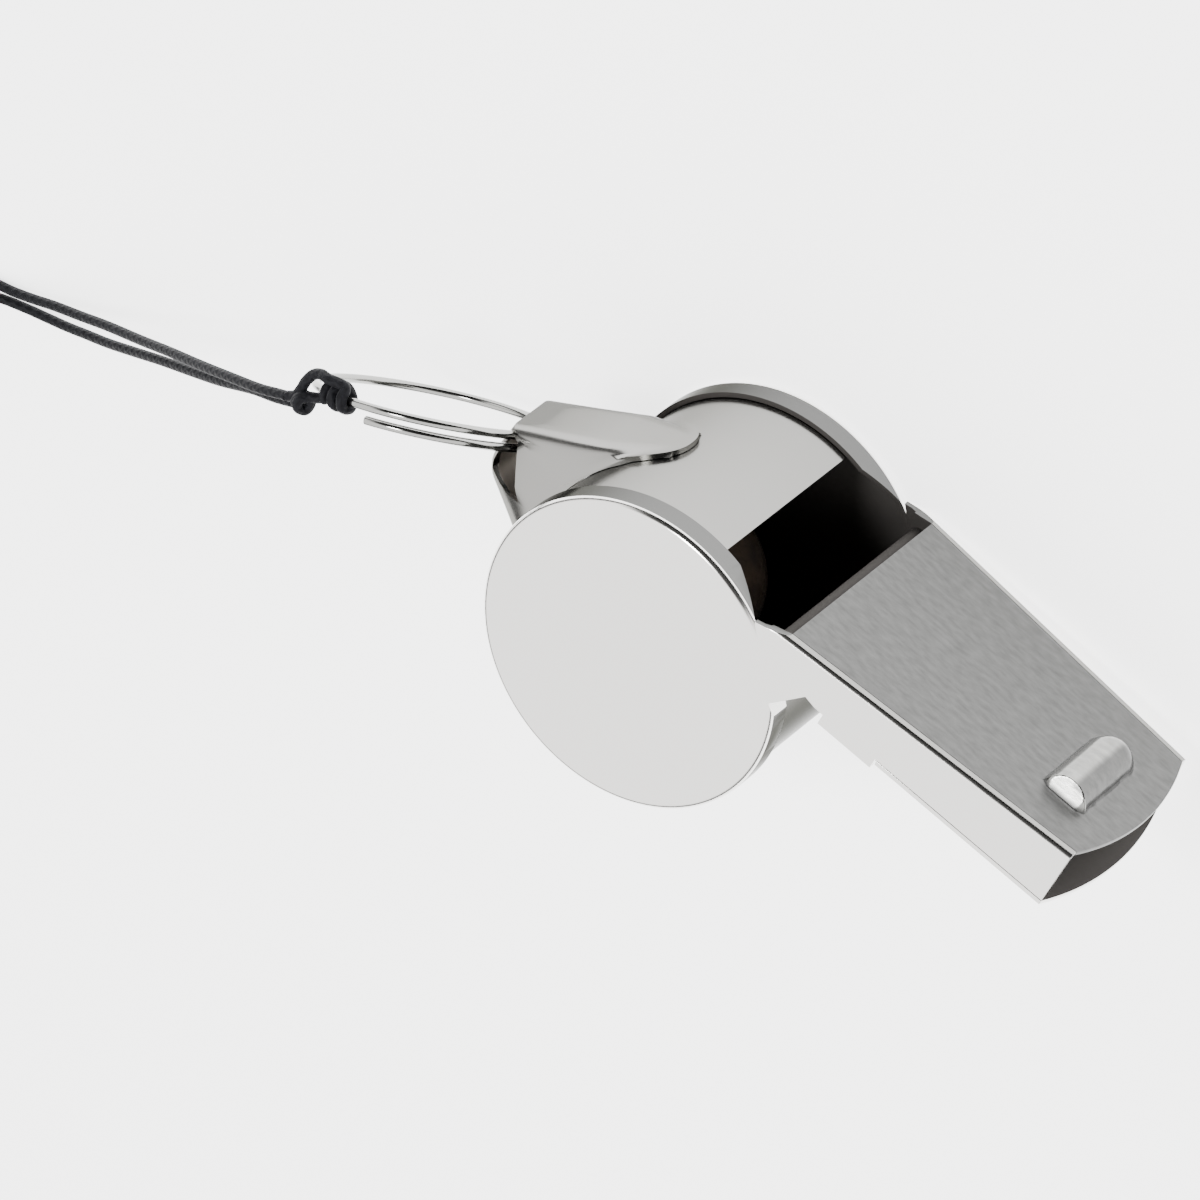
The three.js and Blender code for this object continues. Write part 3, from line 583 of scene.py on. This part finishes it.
tab_foot = prism([
    (TAB_FROM_X, tab_rear), (TAB_TO_X, tab_front),
    (TAB_TO_X, tab_front - SHEET), (TAB_FROM_X, tab_rear - SHEET),
], 0, TAB_WIDTH)
combine(side_strip, new_piece("tab_wall", tab_wall), "UNION")
combine(side_strip, new_piece("tab_foot", tab_foot), "UNION")
combine(right_cheek, side_strip, "UNION")


def fold_piece(piece):
    """Cuts extra edges beside the fold line, then moves what lies past it towards the middle."""
    shape = bmesh.new()
    shape.from_mesh(piece.data)
    for step in FOLD_CUTS:
        place = fold_normal * (FOLD_DISTANCE + step * FOLD_SOFTNESS) * MM
        bmesh.ops.bisect_plane(
            shape, geom=[*shape.verts, *shape.edges, *shape.faces], dist=MERGE_DISTANCE * MM,
            plane_co=place, plane_no=fold_normal,
        )
    for face in shape.faces:
        face.smooth = True
    for vert in shape.verts:
        vert.co.z += fold_shift(vert.co.x / MM, vert.co.y / MM) * MM
    shape.to_mesh(piece.data)
    shape.free()


fold_piece(right_cheek)
left_shape = bmesh.new()
left_shape.from_mesh(right_cheek.data)
for vert in left_shape.verts:
    vert.co.z = WIDTH * MM - vert.co.z
bmesh.ops.reverse_faces(left_shape, faces=left_shape.faces)
left_cheek = add_object("left_cheek_shell", left_shape)


def beside(place, start, end):
    """Limits in metres, from a place in millimetres."""
    return (place + start) * MM, (place + end) * MM


plated, tree, shader = new_material("nickel_plate", (0.72, 0.71, 0.69), 1, 0.2)
plate_noise = grain_bump(tree, shader, 420, 0.001, 0.1)
vary_roughness(tree, shader, plate_noise, 0.13, 0.2)

# The cheeks' flange takes a much darker copy of the nickel: painted shade.
rim_painted_shade, tree, shader = new_material("nickel_rim_painted_shade", (0.11, 0.11, 0.108), 1, 0.16)
shader.inputs["Specular Tint"].default_value = (0.35, 0.35, 0.34, 1)
rim_noise = grain_bump(tree, shader, 420, 0.001, 0.1)
vary_roughness(tree, shader, rim_noise, 0.12, 0.2)

# Inside faces are dull, and their near-black tone is painted shade in the chamber and windway.
dull_dark_inside, tree, shader = new_material("dull_inside_painted_shade", (0.05, 0.046, 0.043), 0, 0.75)
shader.inputs["Specular IOR Level"].default_value = 0.15
grain_bump(tree, shader, 900, 0.01, 0.5)

# The barrel strip is darker on its front, under the neck, where the mouthpiece shades it.
# Its nickel is also darker than the cheeks' throughout: painted shade.
STRIP_TONE = (0.24, 0.237, 0.228)
NECK_TONE = (0.045, 0.045, 0.043)
NECK_SHADE = (-6, 0)
NECK_SHADE_REAR = (-3, -1.5)
strip_plate, tree, shader = new_material("nickel_strip", STRIP_TONE, 1, 0.22)
shader.inputs["Specular Tint"].default_value = (0.45, 0.45, 0.44, 1)
strip_noise = grain_bump(tree, shader, 300, 0.001, 0.1, (0.3, 1, 1))
vary_roughness(tree, shader, strip_noise, 0.16, 0.26)
axes = axes_of(tree, "Object")
shade_levels = beside(NECK_Y, *NECK_SHADE)
shade_rear = beside(CHEEK_RADIUS, *NECK_SHADE_REAR)
above_shade = map_range(tree, axes["Y"], shade_levels, (0, 1), "SMOOTHSTEP")
behind_shade = map_range(tree, axes["X"], shade_rear, (1, 0), "SMOOTHSTEP")
lighter = join_values(tree, "MAXIMUM", above_shade, behind_shade)
tone = tone_ramp(tree, lighter, NECK_TONE, STRIP_TONE)
tree.links.new(tone, shader.inputs["Base Color"])

# Which faces take which material, by their place and by how far they face along an axis. The
# darker nickel on the flange and on the lip is painted shade.
INSIDE_FROM = SHEET - 0.03
INSIDE_TILT = 0.3
FLANGE_FROM = CHEEK_RADIUS - 0.1
FLANGE_TILT = 0.2
FLANGE_UNDER_NECK = NECK_Y - 3
LIP_FROM_X = FOLD_DISTANCE - 3
LIP_TILT = 0.8
for cheek, node in ((right_cheek, "right_cheek"), (left_cheek, "left_cheek")):
    finish_sheet(cheek, CHEEK_EDGE)
    cheek.data.materials.clear()
    for material in (plated, dull_dark_inside, rim_painted_shade, strip_plate):
        cheek.data.materials.append(material)
    for polygon in cheek.data.polygons:
        x, y, z = polygon.center / MM
        depth = min(z, WIDTH - z) - fold_shift(x, y)
        tilt = abs(polygon.normal.z)
        at_rim = math.hypot(x, y) > FLANGE_FROM and tilt < FLANGE_TILT
        # Inside faces take the dull material, its dark tone painted shade.
        if depth > INSIDE_FROM and tilt > INSIDE_TILT:
            polygon.material_index = 1
        # Flange faces, and those under the neck, take the darker nickel: painted shade.
        elif at_rim and (x < FOLD_DISTANCE or y < FLANGE_UNDER_NECK):
            polygon.material_index = 2
        # Lip faces turned up like the top plate take the strip's darker nickel: painted shade.
        elif polygon.normal.y > LIP_TILT and x > LIP_FROM_X:
            polygon.material_index = 3
    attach(cheek, "whistle")
    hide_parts(node)

# Barrel strip. One ribbon of nickel-plated sheet, soldered between the cheeks: from the window's
# sharp rear edge round the chamber, back in a tight crest under the window and forwards as the
# ramp down to the windway's floor. Its inside is dull and near black: painted shade.
BARREL_OUTER = CHEEK_RADIUS - SHEET - SEAM_GAP
BARREL_MIDDLE = BARREL_OUTER - SHEET / 2
WINDOW_REAR = 81.5
CREST_RISE = 44
CREST_X = 8.0
CREST_Y = 8.55
CREST_BEND = 0.45
CREST_START = 165
RAMP_END_X = 16
BARREL_STEPS = 300
CREST_STEPS = 12
INSIDE_WALL = 2
SHEET_EDGE = 0.04


def loft(shape, rings):
    """Adds walls from each loop of vertices to the next and an end on each side."""
    walls = []
    for here, ahead in zip(rings, rings[1:]):
        for k in range(len(here)):
            n = (k + 1) % len(here)
            walls.append(shape.faces.new((here[k], here[n], ahead[n], ahead[k])))
    shape.faces.new(rings[0])
    shape.faces.new(rings[-1])
    bmesh.ops.recalc_face_normals(shape, faces=shape.faces)
    return walls


ramp_end = (RAMP_END_X, lower_edge(RAMP_END_X) + SHEET / 2 + SEAM_GAP)
ramp_turn = math.degrees(math.atan2(ramp_end[1] - CREST_Y, RAMP_END_X - CREST_X))
strip_path = [
    Vector((x, y, 0)) for x, y in [
        *arc(0, 0, BARREL_MIDDLE, WINDOW_REAR, 360 + CREST_RISE, BARREL_STEPS),
        *arc(CREST_X, CREST_Y - CREST_BEND, CREST_BEND, CREST_START, 90 + ramp_turn, CREST_STEPS),
        ramp_end,
    ]
]
strip_low = SHEET + 2 * SEAM_GAP
strip = bmesh.new()
rows = []
for i, middle in enumerate(strip_path):
    ahead = strip_path[min(len(strip_path) - 1, i + 1)] - strip_path[max(0, i - 1)]
    side = Vector((ahead.y, -ahead.x, 0)).normalized() * SHEET / 2
    row = []
    for at, z in ((middle + side, strip_low), (middle + side, WIDTH - strip_low),
                  (middle - side, WIDTH - strip_low), (middle - side, strip_low)):
        shift = fold_shift(at.x, at.y)
        row.append(strip.verts.new((at.x, at.y, z + (shift if z < MID else -shift))))
    rows.append(row)
for count, wall in enumerate(loft(strip, rows)):
    wall.material_index = 1 if count % len(rows[0]) == INSIDE_WALL else 0
barrel = new_piece("barrel_strip_sheet", strip)
barrel.data.materials.append(strip_plate)
barrel.data.materials.append(dull_dark_inside)
finish_sheet(barrel, SHEET_EDGE)
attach(barrel, "whistle")
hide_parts("barrel_strip")

# Top plate. Nickel-plated sheet with a fine satin grain, held under the cheeks' folded lips. Near
# its rounded front it is pressed up into a loaf-shaped stop for the teeth.
FRONT_BULGE = 1.3
STOP_X = 27.65
STOP_LENGTH = 7.6
STOP_WIDTH = 3.4
STOP_HEIGHT = 1.35
STOP_ROUNDNESS = 0.72
STOP_FULLNESS = 2.4
STOP_FOOT_FALL = 1.6
STOP_FOOT_BLEND = 0.02
STOP_END_SLOPE = 2.2
STOP_END_INSET = 0.1
STOP_NEAR_END = 0.55
PLATE_ROWS = 170
PLATE_COLUMNS = 110
FINE_COLUMNS = 24
FINE_COLUMN = 0.0043
FINE_FROM_END = 0.7
PLATE_SHARP_ANGLE = 50


def front_x(z, half_width):
    radius = (half_width**2 + FRONT_BULGE**2) / (2 * FRONT_BULGE)
    return MOUTH_X + FRONT_BULGE - radius + math.sqrt(radius**2 - (z - MID) ** 2)


def inset(x, y):
    return FOLD_SLOPE * max(0, x * fold_normal.x + y * fold_normal.y - FOLD_DISTANCE)


def stop_height(x, z):
    end = STOP_NEAR_END if z > MID else STOP_WIDTH / 2
    past_end = max(0, abs(z - MID) - STOP_LENGTH / 2 + end)
    reach = math.hypot((x - STOP_X) / (STOP_WIDTH / 2), past_end / end)
    if reach < 1:
        dome = STOP_HEIGHT * (1 - reach**STOP_FULLNESS) ** STOP_ROUNDNESS
    else:
        dome = -STOP_FOOT_FALL * (reach - 1)
    dome = min(dome, STOP_END_SLOPE * (STOP_LENGTH / 2 - STOP_END_INSET + MID - z))
    return (dome + math.sqrt(dome * dome + STOP_FOOT_BLEND)) / 2


plate_side = LIP_WIDTH + SEAM_GAP
front_half = MID - plate_side - inset(MOUTH_X, MOUTH_TOP)
rear_half = MID - plate_side - inset(WINDOW_EDGE_X, MOUTH_TOP)
stop_half = MID - plate_side - inset(STOP_X, MOUTH_TOP)
stop_end = (STOP_LENGTH / 2 - FINE_FROM_END) / stop_half
across_shares = sorted([
    *(2 * j / PLATE_COLUMNS - 1 for j in range(PLATE_COLUMNS + 1)),
    *(stop_end + k * FINE_COLUMN for k in range(FINE_COLUMNS)),
])
plate = bmesh.new()
grid = []
for i in range(PLATE_ROWS + 1):
    share = i / PLATE_ROWS
    line = []
    for across in across_shares:
        front = front_x(MID + across * front_half, front_half)
        x = WINDOW_EDGE_X + (front - WINDOW_EDGE_X) * share
        taper = min(1, share * (front - WINDOW_EDGE_X) / (MOUTH_X - WINDOW_EDGE_X))
        z = MID + across * (rear_half + (front_half - rear_half) * taper)
        line.append(plate.verts.new((x, MOUTH_TOP + stop_height(x, z), z)))
    grid.append(line)
for here, ahead in zip(grid, grid[1:]):
    for a, b, c, d in zip(here, here[1:], ahead[1:], ahead):
        plate.faces.new((a, b, c, d))
top_plate = new_piece("mouthpiece_top_plate", plate)
sheet_gauge = top_plate.modifiers.new("sheet", "SOLIDIFY")
sheet_gauge.thickness = SHEET * MM
sheet_gauge.offset = -1
sheet_gauge.use_even_offset = True
# The top plate's tone is much darker than the cheeks' nickel: partly its satin finish, partly
# painted shade.
SATIN_AND_SHADE_TONE = (0.095, 0.095, 0.093)
HIGHLIGHT_TONE = (0.25, 0.25, 0.24)
SATIN_ROUGHNESS = 0.4
WORN_ROUGHNESS = 0.2
GRAIN_CONTRAST = (0.6, 1.4)
satin, tree, shader = new_material("satin_nickel", SATIN_AND_SHADE_TONE, 1, SATIN_ROUGHNESS)
satin_noise = grain_bump(tree, shader, 2600, 0.012, 0.6, (0.35, 1, 1))

# The stop is burnished by teeth, so smoother above the plate. Above the plate its rear side and its
# near end carry painted highlight, a lighter tone.
BURNISH_AND_HIGHLIGHT_RISE = (0.08, 0.5)
REAR_HIGHLIGHT = (-0.15, 0.4)
NEAR_END_HIGHLIGHT = (-0.6, -0.5)
stop_end_z = MID + STOP_LENGTH / 2
axes = axes_of(tree, "Object")
burnish_and_highlight = map_range(tree, axes["Y"], beside(MOUTH_TOP, *BURNISH_AND_HIGHLIGHT_RISE), (0, 1), "SMOOTHSTEP")
polish = map_range(tree, burnish_and_highlight, (0, 1), (SATIN_ROUGHNESS, WORN_ROUGHNESS))
tree.links.new(polish, shader.inputs["Roughness"])
rear_highlight = map_range(tree, axes["X"], beside(STOP_X, *REAR_HIGHLIGHT), (1, 0), "SMOOTHSTEP")
near_end_highlight = map_range(tree, axes["Z"], beside(stop_end_z, *NEAR_END_HIGHLIGHT), (0, 1), "SMOOTHSTEP")
highlight_sides = join_values(tree, "MAXIMUM", rear_highlight, near_end_highlight)
# Painted highlight: a lighter tone on the stop's rear side and near end, above the plate.
painted_highlight = join_values(tree, "MULTIPLY", burnish_and_highlight, highlight_sides)
grained = add_node(tree, "ShaderNodeHueSaturation")
tree.links.new(map_range(tree, satin_noise, (0, 1), GRAIN_CONTRAST), grained.inputs["Value"])
tree.links.new(tone_ramp(tree, painted_highlight, SATIN_AND_SHADE_TONE, HIGHLIGHT_TONE), grained.inputs["Color"])
tree.links.new(grained.outputs[0], shader.inputs["Base Color"])
top_plate.data.materials.append(satin)
# The underside takes the dull material, its dark tone painted shade.
top_plate.data.materials.append(dull_dark_inside)
sheet_gauge.material_offset = 1
finish_sheet(top_plate, SHEET_EDGE, PLATE_SHARP_ANGLE)
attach(top_plate, "whistle")
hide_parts("mouthpiece_top")

# Floor of the windway. Flat nickel-plated sheet that closes the mouthpiece from below. It lies
# under the cheeks' lower edges and over their folded tabs, and is soldered there.
FLOOR_STEP = SHEET + SEAM_GAP
SHOULDER_X = TAB_TO_X + 0.15
FRONT_STEPS = 40
FLOOR_INSIDE_TILT = 0.5
floor_half = MID - inset(MOUTH_X, MOUTH_LOWER)
front_line = []
for k in range(FRONT_STEPS + 1):
    z = MID - floor_half + 2 * floor_half * k / FRONT_STEPS
    front_line.append((front_x(z, floor_half), z))


def wall_z(x):
    """Where the cheek's wall stands, at the mouthpiece's lower edge."""
    return FOLD_SLOPE * (x * fold_normal.x + lower_edge(x) * fold_normal.y - FOLD_DISTANCE)


neck_z, shoulder_z = wall_z(NECK_X), wall_z(SHOULDER_X)
floor_outline = [
    (NECK_X, neck_z + FLOOR_STEP), (SHOULDER_X, shoulder_z + FLOOR_STEP), (SHOULDER_X, shoulder_z),
    *front_line, (SHOULDER_X, WIDTH - shoulder_z), (SHOULDER_X, WIDTH - shoulder_z - FLOOR_STEP),
    (NECK_X, WIDTH - neck_z - FLOOR_STEP),
]
floor_sheet = prism(floor_outline, -SHEET - SEAM_GAP, -SEAM_GAP)
for vert in floor_sheet.verts:
    x, z, y = vert.co
    vert.co = (x, lower_edge(x) + y, z)
floor_sheet.normal_update()
bmesh.ops.recalc_face_normals(floor_sheet, faces=floor_sheet.faces)
windway_floor = new_piece("windway_floor_sheet", floor_sheet)
windway_floor.data.materials.append(plated)
windway_floor.data.materials.append(dull_dark_inside)
# The floor's inner face takes the dull material, its dark tone painted shade.
for polygon in windway_floor.data.polygons:
    polygon.material_index = 1 if polygon.normal.y > FLOOR_INSIDE_TILT else 0
finish_sheet(windway_floor, SHEET_EDGE)
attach(windway_floor, "whistle")
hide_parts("windway_floor")

# Ring lug. A hood stamped from thin nickel-plated sheet, soldered to the barrel's back by a tongue
# at each end: its flat top runs off the barrel, its side wings come down to it over soft creases,
# and the ring passes through the open rear above a curled lower end.
LUG_SHEET = 0.35
LUG_TOP_HALF = 2.45
LUG_FOOT_HALF = 3.9
LUG_REACH = 16.4
LUG_TANGENT = 124.5
LUG_UNDER = 233.7
LUG_CREASE = 4.78
LUG_EDGE = 0.06
LUG_SHARP_ANGLE = 50
LUG_SEAT = BARREL_OUTER + SEAM_GAP
LUG_INSIDE = [Vector((-5.5, -7.3)), Vector((-5.3, 7.4))]
LUG_CURL = [(0, -0.85, 1, 0), (0.5, -2.03, 0.7, 0.7), (1.4, -2.63, 0.5, 0.8)]
LUG_FOOT = [
    (LUG_TANGENT, 0.3), (143, 0.35), (167, 0.66), (176, 1.1), (181.5, 1.5), (190, 0.6),
    (LUG_UNDER, 0.3),
]
CURL = slice(2, 7)
CORNER_CUT = 0.2
ROOF_SETBACK = 0.35
TOP_WALL = 0.6
FOOT_WALL = 0.5
NOSE_SHARE = 0.4
FOOT_TAPER = 0.21
ROOF_MIDDLE = -0.9
CREASE_REACH = 0.55
CREASE_BEND = 2.2
CREASE_STEPS = 10
TONGUE_STEPS = 4
TONGUE_OVER = [
    (121.8, 0.15), (122.0, 0.55), (122.8, 1.05), (124.8, 1.65), (128, 2.15), (134, 2.65),
    (141, 2.85), (148.6, 3.0), (155, 3.1),
]
TONGUE_UNDER = [
    (250, 0.2), (249.5, 0.8), (248, 1.5), (245, 2.2), (240, 2.8), (234, 3.3), (229.7, 3.5),
]
EYE_INWARDS = [(2.7, -1.6), (3.65, -1.15), (2.9, -0.5), (1.85, 1.2), (1.4, 1.95)]
EYE_CURL = slice(3, 11)
SEAT_SIDES = 180


def polar(radius, turn):
    return Vector((radius * math.cos(math.radians(turn)), radius * math.sin(math.radians(turn))))


def round_curl(outline):
    """The outline with the corners of its curled lower end cut back twice."""
    curl = outline[CURL]
    for _ in range(2):
        cut = [curl[0]]
        for a, b in zip(curl, curl[1:]):
            cut += [a.lerp(b, CORNER_CUT), a.lerp(b, 1 - CORNER_CUT)]
        curl = [*cut, curl[-1]]
    return [*outline[: CURL.start], *curl, *outline[CURL.stop :]]


def lug_outline(sheet):
    """Side view of the hood's roof, or with a sheet's thickness of the hollow under it."""
    lean = math.radians(LUG_TANGENT)
    top = polar(LUG_SEAT + LUG_SHEET - sheet, LUG_TANGENT)
    under = polar(LUG_SEAT + LUG_SHEET - sheet, LUG_UNDER)
    way = Vector((-math.sin(lean), math.cos(lean)))
    flat = (LUG_REACH - ROOF_SETBACK + top.x) / math.sin(lean) - sheet
    curl = [
        Vector((x + sheet * in_x - LUG_REACH, y + sheet * in_y)) for x, y, in_x, in_y in LUG_CURL
    ]
    return round_curl([top, top + way * LUG_CREASE, top + way * flat, *curl, under, *LUG_INSIDE])


def lug_foot_outline(sheet):
    """Side view of the hood's foot, close over the barrel."""
    foot = [polar(BARREL_OUTER + above - sheet, turn) for turn, above in LUG_FOOT]
    return round_curl([*foot, *LUG_INSIDE])


def lug_skin(sheet):
    """The hood's closed outer shape, or with a sheet's thickness the hollow inside it."""
    wide, narrow = lug_outline(sheet), lug_foot_outline(sheet)
    top, foot = LUG_TOP_HALF - sheet * TOP_WALL, LUG_FOOT_HALF - sheet * FOOT_WALL
    steps = [k / CREASE_STEPS for k in range(CREASE_STEPS + 2)]
    crease = [(step**2 / CREASE_BEND, step - CREASE_REACH) for step in steps]
    near = []
    for drop, way in [(0, ROOF_MIDDLE), *crease, (1, 1)]:
        half = top + (foot - top) * way
        low_half = half * (1 - FOOT_TAPER * max(0, way))
        halves = [half * NOSE_SHARE, low_half, *[half] * (len(wide) - 2)]
        near.append([(*(w + (n - w) * drop), MID - h) for w, n, h in zip(wide, narrow, halves)])
    loops = [*reversed(near), *([(x, y, WIDTH - z) for x, y, z in loop] for loop in near)]
    shape = bmesh.new()
    loft(shape, [[shape.verts.new(point) for point in loop] for loop in loops])
    return shape


def tongue(turns):
    """A thin tongue on the barrel, from pairs of an angle and the half width there."""
    shape = bmesh.new()
    rows = []
    for turn, half in turns:
        outer, inner = polar(LUG_SEAT + LUG_SHEET, turn), polar(LUG_SEAT - LUG_SHEET, turn)
        places = ((outer, -half), (outer, half), (inner, half), (inner, -half))
        rows.append([shape.verts.new((p.x, p.y, MID + z)) for p, z in places])
    loft(shape, rows)
    return new_piece("tongue", shape)


def smooth_widths(widths):
    """The widths of a tongue at more angles, along a smooth curve."""
    return [(p.x, p.y) for p in smooth_route([(*pair, 0) for pair in widths], TONGUE_STEPS)]


lug = new_piece("ring_lug_hood", lug_skin(0))
hollow = new_piece("hollow", lug_skin(LUG_SHEET))
for polygon in hollow.data.polygons:
    polygon.material_index = 1
combine(lug, hollow, "DIFFERENCE")
eye_rear = [tuple(p) for p in lug_outline(LUG_SHEET)[EYE_CURL]]
eye = prism([*eye_rear, *((x - LUG_REACH, y) for x, y in EYE_INWARDS)], -1, WIDTH + 1)
combine(lug, new_piece("eye", eye), "DIFFERENCE")
combine(lug, tongue(smooth_widths(TONGUE_OVER)), "UNION")
combine(lug, tongue(smooth_widths(TONGUE_UNDER)), "UNION")
seat_circle = arc(0, 0, LUG_SEAT, 0, 360 - 360 / SEAT_SIDES, SEAT_SIDES - 1)
seat = prism(seat_circle, -WIDTH, 2 * WIDTH)
combine(lug, new_piece("seat", seat), "DIFFERENCE")
for polygon in lug.data.polygons:
    polygon.use_smooth = True
hood_inside, tree, shader = new_material("hood_inside", (0.42, 0.38, 0.34), 1, 0.55)
hood_noise = grain_bump(tree, shader, 900, 0.01, 0.3)
vary_roughness(tree, shader, hood_noise, 0.48, 0.62)
lug.data.materials.append(strip_plate)
lug.data.materials.append(hood_inside)
lug_edges = lug.modifiers.new("edges", "BEVEL")
lug_edges.width = LUG_EDGE * MM
lug_edges.segments = 3
lug_edges.limit_method = "ANGLE"
lug_edges.angle_limit = math.radians(LUG_SHARP_ANGLE)
lug_edges.harden_normals = True
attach(lug, "whistle")
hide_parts("ring_lug")

# Pea. A rough ball of cork, shut loose into the chamber, where the breath rolls it round and it
# makes the trill. At rest it lies on the right cheek.
PEA_DIAMETER = 12.0
PEA_CLEARANCE = 0.3
PEA_TURN = 225
PEA_SUBDIVISIONS = 5
CORK_DEPTH = 0.15
pea_orbit = BARREL_OUTER - SHEET - PEA_DIAMETER / 2 - PEA_CLEARANCE
pea_shape = bmesh.new()
bmesh.ops.create_icosphere(pea_shape, subdivisions=PEA_SUBDIVISIONS, radius=PEA_DIAMETER / 2)
pea_place = Vector((*polar(pea_orbit, PEA_TURN), SHEET + PEA_CLEARANCE + PEA_DIAMETER / 2))
bmesh.ops.translate(pea_shape, verts=pea_shape.verts, vec=pea_place)
pea = new_piece("cork_pea_ball", pea_shape)
cork, tree, shader = new_material("cork_grain", (0.16, 0.09, 0.045), 0, 0.9)
place = add_node(tree, "ShaderNodeTexCoord")
cells = add_node(tree, "ShaderNodeTexVoronoi")
cells.inputs["Scale"].default_value = 900
specks = add_node(tree, "ShaderNodeTexNoise")
specks.inputs["Scale"].default_value = 500
specks.inputs["Detail"].default_value = 4
tree.links.new(place.outputs["Object"], cells.inputs["Vector"])
tree.links.new(place.outputs["Object"], specks.inputs["Vector"])
# The cork's specks are real, their near-black tones painted shade of the closed chamber.
cork_specks_painted_shade = tone_ramp(
    tree, specks.outputs["Fac"], (0.012, 0.006, 0.003), (0.03, 0.017, 0.008), ends=(0.35, 0.6),
)
tree.links.new(cork_specks_painted_shade, shader.inputs["Base Color"])
add_bump(tree, shader, cells.outputs["Distance"], CORK_DEPTH, 1)
pea.data.materials.append(cork)
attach(pea, "pea")
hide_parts("cork_pea")

# Table and light. A white table in a bright white tent, with one soft lamp overhead. The tent is
# dark on the viewer's side and along its foot, which draws the dark lines on every rounded edge.
FLOOR_DROP = 0.03
FLOOR_SIDE = 6.0
TABLE_GLOW = 2.6
floor_mesh = bmesh.new()
bmesh.ops.create_grid(floor_mesh, x_segments=2, y_segments=2, size=FLOOR_SIDE / 2)
bmesh.ops.translate(floor_mesh, vec=(0, 0, -FLOOR_DROP * MM), verts=floor_mesh.verts)
table = add_object("table", floor_mesh)
white, tree, shader = new_material("white_table", (0.92, 0.92, 0.92), 0, 0.9)
shader.inputs["Specular IOR Level"].default_value = 0
shader.inputs["Emission Color"].default_value = (1, 1, 1, 1)
shader.inputs["Emission Strength"].default_value = TABLE_GLOW
table.data.materials.append(white)

DARK_SIDE = Vector((-0.1, 0.8, 0.59)).normalized()
DARK_EDGE = (math.cos(math.radians(50)), math.cos(math.radians(34)))
TENT_FOOT = (0.26, 0.48)
FOOT_SHARE = 0.07
TENT_LIGHT = 3.0
DARK_LIGHT = 0.06
world = bpy.data.worlds.new("tent")
world.use_nodes = True
tree = world.node_tree
background = tree.nodes["Background"]
background.inputs["Color"].default_value = (1, 0.995, 0.985, 1)
place = add_node(tree, "ShaderNodeTexCoord")
facing = add_node(tree, "ShaderNodeVectorMath", operation="DOT_PRODUCT")
facing.inputs[1].default_value = DARK_SIDE
tree.links.new(place.outputs["Generated"], facing.inputs[0])
opening = map_range(
    tree, facing.outputs["Value"], DARK_EDGE, (TENT_LIGHT, DARK_LIGHT), "SMOOTHSTEP",
)
height = axes_of(tree, "Generated")["Z"]
foot = map_range(tree, height, TENT_FOOT, (FOOT_SHARE, 1), "SMOOTHSTEP")
light = join_values(tree, "MULTIPLY", opening, foot)
tree.links.new(light, background.inputs["Strength"])
bpy.context.scene.world = world

LAMP_PLACE = Vector((-0.12, 0.16, 0.62))
LAMP_SIZE = (0.12, 0.16)
LAMP_POWER = 2.5
lamp_data = bpy.data.lights.new("overhead", "AREA")
lamp_data.shape = "RECTANGLE"
lamp_data.size, lamp_data.size_y = LAMP_SIZE
lamp_data.energy = LAMP_POWER
lamp = bpy.data.objects.new("overhead", lamp_data)
bpy.context.scene.collection.objects.link(lamp)
lamp_turn = LAMP_PLACE.normalized().to_track_quat("Z", "Y").to_matrix().to_4x4()
lamp.matrix_world = Matrix.Translation(LAMP_PLACE) @ lamp_turn
